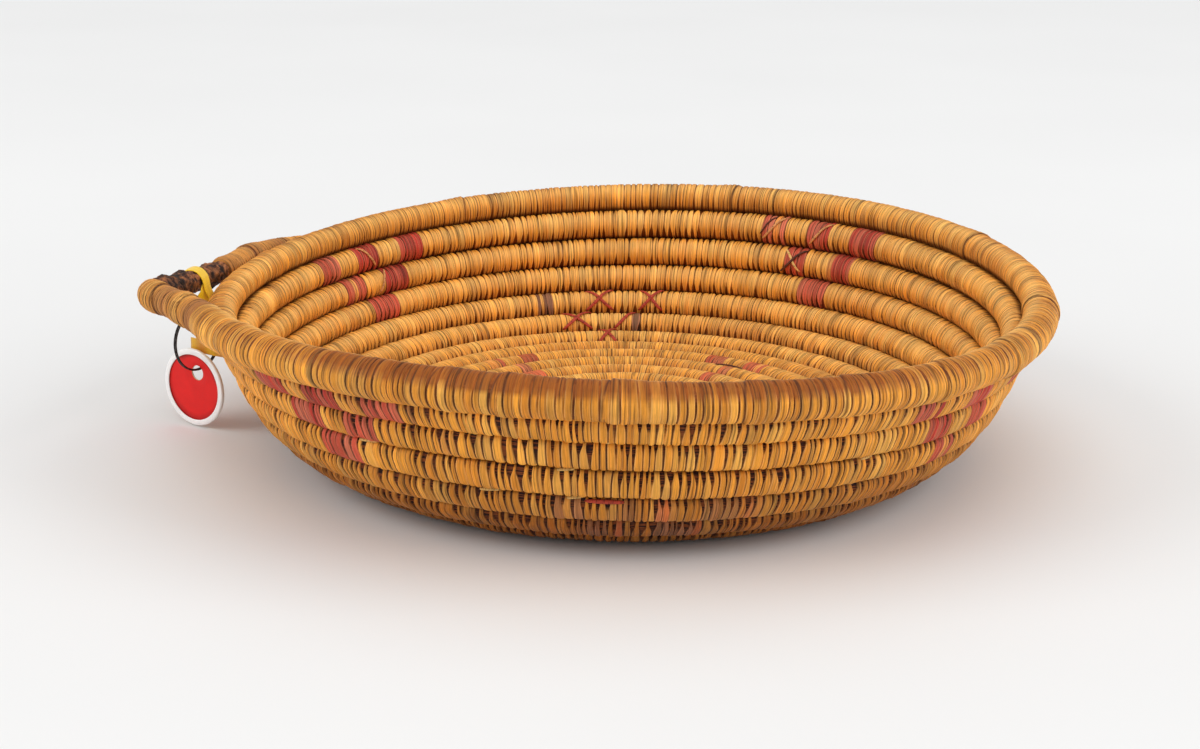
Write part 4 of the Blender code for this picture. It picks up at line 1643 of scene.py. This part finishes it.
    def build(self, grass: Material, bare: Material) -> None:
        """Make the handle.

        Args:
            grass: Finish of the splints.
            bare: Finish of the bare stems.
        """
        front = WrapStyle(pitch=1.7, line=0.17, notch=0.02, tick=0.02, bulge=0.20, corners=24, seed=301)
        back = WrapStyle(pitch=1.8, line=0.16, notch=0.03, tick=0.03, bulge=0.22, seed=402)
        bare_start, bare_end = self.share_at_angle(self.bare_from), self.share_at_angle(self.bare_to)
        self.build_wrap("handle_front_splints", "handle_wrap_front", 0.0, bare_start, front, grass)
        self.build_wrap("handle_back_splints", "handle_wrap_back", bare_end, 1.0, back, grass)
        self.build_bundle(bare)


# Ribbon, ring and tag


@dataclass
class Tie:
    """Ribbon round the bare handle, and where it holds the ring."""

    handle: Handle
    width: float = 5.6
    thickness: float = 0.5
    angle: float = 176.6
    hang: float = 10.3
    inward: float = 2.7
    forward: float = 5.2
    lean_from: float = 2.0
    lap_points: int = 3
    tail: tuple[tuple[float, float, float], ...] = (
        (8.3, -5.7, -12.3), (10.9, -7.4, -18.5), (13.3, -8.6, -23.4), (15.1, -10.2, -25.7),
        (13.5, -9.2, -26.3), (5.9, -5.3, -26.3), (-1.9, -0.2, -26.1))
    body: str = "basket"

    @cached_property
    def anchor(self) -> tuple[Array, Array]:
        """Where the ribbon goes round the handle.

        Returns:
            Centre of the handle there, and the handle's level direction.
        """
        share = np.arange(self.handle.steps + 1.0) / self.handle.steps
        centre, bearing, _, _ = self.handle.stations(share)
        after = int(np.argmax(bearing < self.angle))
        part = (bearing[after - 1] - self.angle) / (bearing[after - 1] - bearing[after])
        step = centre[after] - centre[after - 1]
        return centre[after - 1] + step * part, unit(step * np.array((1.0, 1.0, 0.0)))

    @property
    def pivot(self) -> Array:
        """Middle of the ring's wire where it hangs in the ribbon."""
        place, along = self.anchor
        return place + np.cross(along, UP) * self.inward - along * self.forward - UP * self.hang

    def knots(self) -> tuple[Array, Array]:
        """Points of the ribbon's middle line and its width direction at each.

        Returns:
            The points and directions, from the first strand, under the ring, round the handle,
            down the lap and out along the tail.
        """
        place, along = self.anchor
        ring_along = -level_direction(RING_HEADING)
        hug = self.handle.bare_radius + 0.3 + self.thickness / 2.0
        bend = math.hypot(RING_WIDTH, RING_DEPTH) / 2.0 + 0.6 + self.thickness / 2.0
        lap = hug + self.thickness + 0.3
        outline = [(hug, -2.6), (hug * 0.9, -5.2), (hug * 0.6, -7.8)]
        outline += [(bend * math.cos(math.radians(turn)), -self.hang + bend * math.sin(math.radians(turn)))
                    for turn in (0, -45, -90, -135, -180)]
        outline += [(-hug * 0.9, -6.4), (-hug * 1.02, -3.0)]
        outline += [(hug * math.cos(math.radians(turn)), hug * math.sin(math.radians(turn)))
                    for turn in (180, 150, 120, 90, 60, 30)]
        outline += [(hug * 1.04, 0.4), (lap, -3.0), (lap, -7.0)]
        reach, height = np.array(outline).T
        lean = smooth(self.lean_from, self.hang, -height)
        twist = smooth(3.0, 8.0, -height)
        lapped = np.arange(len(reach)) >= len(reach) - self.lap_points
        slide, twist = np.where(lapped, 0.0, lean), np.where(lapped, 0.0, twist)
        width = unit(along + (ring_along - along) * twist[:, None])
        leant = np.cross(along, UP) * self.inward * lean[:, None] - along * self.forward * slide[:, None]
        points = place + np.cross(width, UP) * reach[:, None] + leant + UP * height[:, None]
        share = smooth(0.0, 3.0, np.arange(len(self.tail)))[:, None]
        tail_width = unit(along + (UP - along) * share)
        return np.concatenate([points, place + np.array(self.tail)]), np.concatenate([width, tail_width])

    def build(self, satin: Material) -> None:
        """Make the ribbon.

        A flat outline with rounded edges is carried along a smooth curve through the knots. The tail gets
        painted shade in orange, darker still in painted shadows of its creases, and the edges are paler
        elsewhere.

        Args:
            satin: Finish of the ribbon.
        """
        knots, widths = self.knots()
        share = np.linspace(0.0, 1.0, 220)
        line = smooth_route(knots, share)
        width = unit(smooth_route(widths, share))
        tangent = unit(np.gradient(line, axis=0))
        face = unit(np.cross(tangent, width))
        side = unit(np.cross(face, tangent))
        circle = round_outline(20)
        spread = 1.0 + 0.22 * (1.0 - smooth(0.62, 0.78, share))[:, None]
        outline = squared(circle, 0.35) * np.array((self.width / 2.0, self.thickness / 2.0))
        shapes = np.stack(np.broadcast_arrays(outline[:, 0] * spread, outline[:, 1]), axis=-1)
        points = sweep(line, side, face, shapes)
        # Painted shade: the tail, which hangs in shadow, turns orange, and its creases darker.
        tail = smooth(0.74, 0.80, share)[:, None] * np.ones((1, len(circle)))
        crease = 0.45 * (0.5 + 0.5 * np.sin(share * 150.0))[:, None] * tail
        edge = smooth(0.80, 1.0, circle[:, 0])[None, :] * (1.0 - tail)
        colours = mixed(linear((252, 206, 4)), linear((204, 128, 2)), 0.55 * tail + crease)
        colours = toned(colours, (255, 228, 70), edge * 0.7)
        grid = Grid.plain(points, colours=colours)
        item = mesh_from_grid("ribbon_strip", grid, satin)
        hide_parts("ribbon")
        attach(item, self.body)
        log.info("%s: %d faces", item.name, len(item.data.polygons))


@dataclass
class SplitRing:
    """Two turns of wire side by side, hanging from the ribbon."""

    pivot: Array
    body: str = "ring"

    def build(self, wire: Material) -> None:
        """Make the ring.

        The wire's middle runs twice round a circle, on one side of its plane in the first turn
        and on the other in the second, and steps across between them. Its two ends are thinner.

        Args:
            wire: Finish of the wire.
        """
        radius = RING_OUTER - RING_WIDTH / 2.0
        half_section = np.array((RING_WIDTH / 2.0 - 0.22, RING_DEPTH / 4.0 - 0.12))
        turn = np.linspace(0.0, 2.0 * math.tau, 361)[1:-1] + math.radians(205.0)
        walked = np.linspace(0.0, 2.0, 361)[1:-1]
        side = (smooth(0.93, 1.07, walked) * 2.0 - 1.0) * RING_DEPTH / 4.6
        level = level_direction(RING_HEADING)
        axis = np.cross(level, UP)
        spoke = UP * np.cos(turn)[:, None] + level * np.sin(turn)[:, None]
        line = self.pivot - UP * radius + spoke * radius + axis * side[:, None]
        taper = 0.55 + 0.45 * smooth(0.0, 0.02, np.minimum(walked, 2.0 - walked))
        shapes = (round_outline(14) * half_section)[None] * taper[:, None, None]
        points = sweep(line, spoke, np.broadcast_to(axis, spoke.shape), shapes)
        item = mesh_from_grid("split_ring_wire", Grid.plain(points, 40.0), wire)
        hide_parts("split_ring")
        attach(item, self.body)
        log.info("%s: %d faces", item.name, len(item.data.polygons))


@dataclass
class Tag:
    """Round card with a hole, held in a pressed metal rim."""

    pivot: Array
    radius: float = 16.0
    rim_width: float = 2.4
    card: float = 0.6
    hole: float = 3.0
    hole_offset: float = 6.8
    turn: float = 20.0
    wire_room: float = math.hypot(RING_WIDTH, RING_DEPTH) / 2.0 + 0.15
    body: str = "tag"

    def placed(self, points: Array) -> Array:
        """Bring points from the tag's own plane to their place.

        Args:
            points: Points with the tag's middle at the origin, its face along +Z and its hole
                towards +Y.

        Returns:
            The points in the basket's space.
        """
        tilt = math.radians(-self.turn)
        face = level_direction(RING_HEADING)
        side = np.cross(UP, face)
        drop = self.hole_offset + self.hole - self.wire_room
        x, y = points[..., 0], points[..., 1] - drop
        turned_x = (x * math.cos(tilt) - y * math.sin(tilt))[..., None]
        turned_y = (x * math.sin(tilt) + y * math.cos(tilt))[..., None]
        return self.pivot + side * turned_x + UP * turned_y + face * points[..., 2:]

    def build_card(self, red: Material) -> None:
        """Make the card.

        Rings run from the hole's edge to the card's edge, each point a straight mix of the two
        circles at the same angle, on the front and back again.

        Args:
            red: Finish of the card.
        """
        outer = self.radius - 0.55
        circle = round_outline(96)
        share = np.array([0.0, 0.012, 0.25, 0.5, 0.75, 0.985, 1.0])
        lift = np.array([0.75, 1.0, 1.0, 1.0, 1.0, 1.0, 0.7]) * self.card / 2.0
        share, lift = np.concatenate([share, share[::-1]]), np.concatenate([lift, -lift[::-1]])
        hole = circle * self.hole + np.array([0.0, self.hole_offset])
        flat = hole[:, None] * (1.0 - share)[:, None] + circle[:, None] * outer * share[:, None]
        high = np.broadcast_to(lift[:, None], (*flat.shape[:2], 1))
        points = self.placed(np.concatenate([flat, high], axis=-1))
        lip = self.radius - self.rim_width
        # Painted shade: a thin darker ring where the card meets the rim's lip.
        shade = smooth(lip - 0.55, lip - 0.05, np.linalg.norm(flat, axis=-1))
        colours = mixed(linear((228, 24, 20)), linear((140, 14, 12)), shade)
        colours = toned(colours, (214, 198, 160), np.where(share == 0.0, 1.0, 0.0))
        grid = Grid.plain(points, colours=colours)
        item = mesh_from_grid("tag_disc", grid, red, ring=True)
        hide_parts("tag_card")
        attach(item, self.body)
        log.info("%s: %d faces", item.name, len(item.data.polygons))

    def build_rim(self, metal: Material) -> None:
        """Make the rim.

        The section of the pressed rim, with its slot for the card and rounded lips, is turned
        round the tag.

        Args:
            metal: Finish of the rim.
        """
        slot, out = self.card / 2.0 + 0.22, self.card / 2.0 + 0.55
        inner, outer = self.radius - self.rim_width, self.radius
        half = np.array([
            (outer, 0.0), (outer - 0.06, out - 0.28), (outer - 0.3, out - 0.05), (outer - 0.8, out + 0.03),
            (inner + 0.7, out + 0.03), (inner + 0.12, out), (inner, out - 0.12), (inner + 0.05, slot),
            (outer - 0.5, slot), (outer - 0.35, 0.0)])
        mirrored = half[::-1] * np.array((1.0, -1.0))
        section = np.concatenate([half[7:], mirrored[1:], half[1:7]])
        circle = round_outline(120)
        flat = circle[:, None] * section[:, :1]
        high = np.broadcast_to(section[:, 1:], (*flat.shape[:2], 1))
        points = np.concatenate([flat, high], axis=-1)
        grid = Grid.plain(self.placed(points))
        item = mesh_from_grid("tag_rim_pressed", grid, metal, ring=True)
        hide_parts("tag_rim")
        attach(item, self.body)
        log.info("%s: %d faces", item.name, len(item.data.polygons))

    def build(self, red: Material, metal: Material) -> None:
        """Make the card and its rim.

        Args:
            red: Finish of the card.
            metal: Finish of the rim.
        """
        self.build_card(red)
        self.build_rim(metal)


# Floor, light and camera


@dataclass(frozen=True)
class Lamp:
    """Soft square lamp: its place and side in metres, its power in watts and where it faces."""

    name: str
    place: tuple[float, float, float]
    size: float
    power: float
    aim: tuple[float, float, float] = (0.0, 0.0, 0.03)

    def build(self) -> None:
        """Hang the lamp."""
        lamp = bpy.data.lights.new(self.name, "AREA")
        lamp.shape, lamp.size, lamp.energy = "SQUARE", self.size, self.power
        item = bpy.data.objects.new(self.name, lamp)
        item.location = self.place
        item.rotation_euler = (Vector(self.aim) - item.location).to_track_quat("-Z", "Y").to_euler()
        bpy.context.collection.objects.link(item)


@dataclass
class Studio:
    """Pale floor, soft lamps and the camera."""

    camera_place: tuple[float, float, float] = (0.0, -0.8156, 0.2038)
    pitch: float = 0.29142
    yaw: float = -0.01072
    roll: float = 0.01394
    lens: float = 64.087
    sensor: float = 36.0
    floor_colour: Colour = (237, 237, 236)
    floor_half: float = 60.0
    floor_glows: tuple[tuple[float, float, float], ...] = ((0.26, 2.4, 0.10), (2.4, 7.0, 0.62))
    room_strength: float = 0.52
    lamps: tuple[Lamp, ...] = (
        Lamp("key_lamp", (-0.4, -2.0, 3.2), 2.8, 22.0),
        Lamp("top_lamp", (0.2, 1.1, 4.0), 4.4, 35.0),
        Lamp("left_lamp", (-3.0, -1.0, 1.9), 2.4, 47.0, (-0.2, 0.0, 0.0)),
        Lamp("right_lamp", (3.0, -0.8, 1.9), 2.4, 52.0, (0.2, 0.0, 0.0)))

    def build_floor(self) -> None:
        """Lay a large pale floor that keeps the object's shadow.

        It glows a little, more and more with the distance, so that it stays pale to the horizon.
        """
        desk = NodeDesk("pale_floor")
        tooth = desk.noise(desk.place(3.0), 2.0)
        colour = desk.mix(desk.ramp(tooth, 0.3, 0.7, 0.0, 1.0), linear(self.floor_colour),
                          linear(tuple(part - 3 for part in self.floor_colour)))
        desk.link(colour, desk.shader.inputs["Base Color"])
        desk.shader.inputs["Roughness"].default_value = 0.9
        desk.shader.inputs["Specular IOR Level"].default_value = 0.1
        distance = desk.add("VectorMath", operation="DISTANCE")
        desk.link(desk.place(1.0), distance.inputs[0])
        distance.inputs[1].default_value = (0.0, -0.15, 0.0)
        glow = desk.add("Math", operation="ADD")
        for socket, (near, far, strength) in zip(glow.inputs, self.floor_glows):
            desk.link(desk.ramp(distance.outputs["Value"], near, far, 0.0, strength), socket)
        desk.link(glow.outputs["Value"], desk.shader.inputs["Emission Strength"])
        desk.shader.inputs["Emission Color"].default_value = (1.0, 1.0, 1.0, 1.0)
        half = self.floor_half
        mesh = bpy.data.meshes.new("floor")
        mesh.from_pydata([(-half, -half, 0.0), (half, -half, 0.0), (half, half, 0.0), (-half, half, 0.0)],
                         [], [(0, 1, 2, 3)])
        mesh.materials.append(desk.material)
        floor = bpy.data.objects.new("floor", mesh)
        bpy.context.collection.objects.link(floor)

    def build_world(self) -> None:
        """Fill the room with even pale light."""
        world = bpy.data.worlds.new("room")
        world.use_nodes = True
        back = world.node_tree.nodes["Background"]
        back.inputs["Color"].default_value = (0.98, 0.985, 1.0, 1.0)
        back.inputs["Strength"].default_value = self.room_strength
        bpy.context.scene.world = world

    def build_camera(self, root_height: float) -> None:
        """Place the camera.

        Args:
            root_height: Height of the rim's root over the floor, in millimetres.
        """
        camera = bpy.data.cameras.new("camera")
        camera.sensor_fit, camera.sensor_width, camera.lens = "HORIZONTAL", self.sensor, self.lens
        camera.clip_start, camera.clip_end = 0.02, 40.0
        item = bpy.data.objects.new("camera", camera)
        side, ahead, level = math.sin(self.yaw), math.cos(self.yaw), math.cos(self.pitch)
        forward = Vector((side * level, ahead * level, -math.sin(self.pitch)))
        right = Vector((ahead, -side, 0.0))
        over = right.cross(forward)
        across = right * math.cos(self.roll) + over * math.sin(self.roll)
        upright = over * math.cos(self.roll) - right * math.sin(self.roll)
        turn = Matrix((across, upright, -forward)).transposed().to_4x4()
        place = Vector(self.camera_place) + Vector((0.0, 0.0, root_height * MM))
        item.matrix_world = Matrix.Translation(place) @ turn
        bpy.context.collection.objects.link(item)
        bpy.context.scene.camera = item

    def build(self, root_height: float) -> None:
        """Set the whole studio up.

        Args:
            root_height: Height of the rim's root over the floor, in millimetres.
        """
        self.build_floor()
        self.build_world()
        for lamp in self.lamps:
            lamp.build()
        self.build_camera(root_height)
        bpy.context.scene.view_settings.view_transform = "Standard"


def main() -> None:
    """Dress the frame and set the studio up."""
    logging.basicConfig(level=logging.INFO, format="%(name)s: %(message)s")
    path = CoilPath()
    grass, bare = WrappedGrass().material(), BareGrass().material()
    Basket(path).build(grass)
    handle = Handle(path)
    handle.build(grass, bare)
    tie = Tie(handle)
    tie.build(SatinRibbon().material())
    SplitRing(tie.pivot).build(DrawnWire().material())
    tag_pivot = tie.pivot - UP * (2.0 * RING_OUTER - RING_WIDTH)
    Tag(tag_pivot).build(CoatedCard().material(), PressedMetal().material())
    Studio().build(path.root_height)


if __name__ == "__main__":
    main()
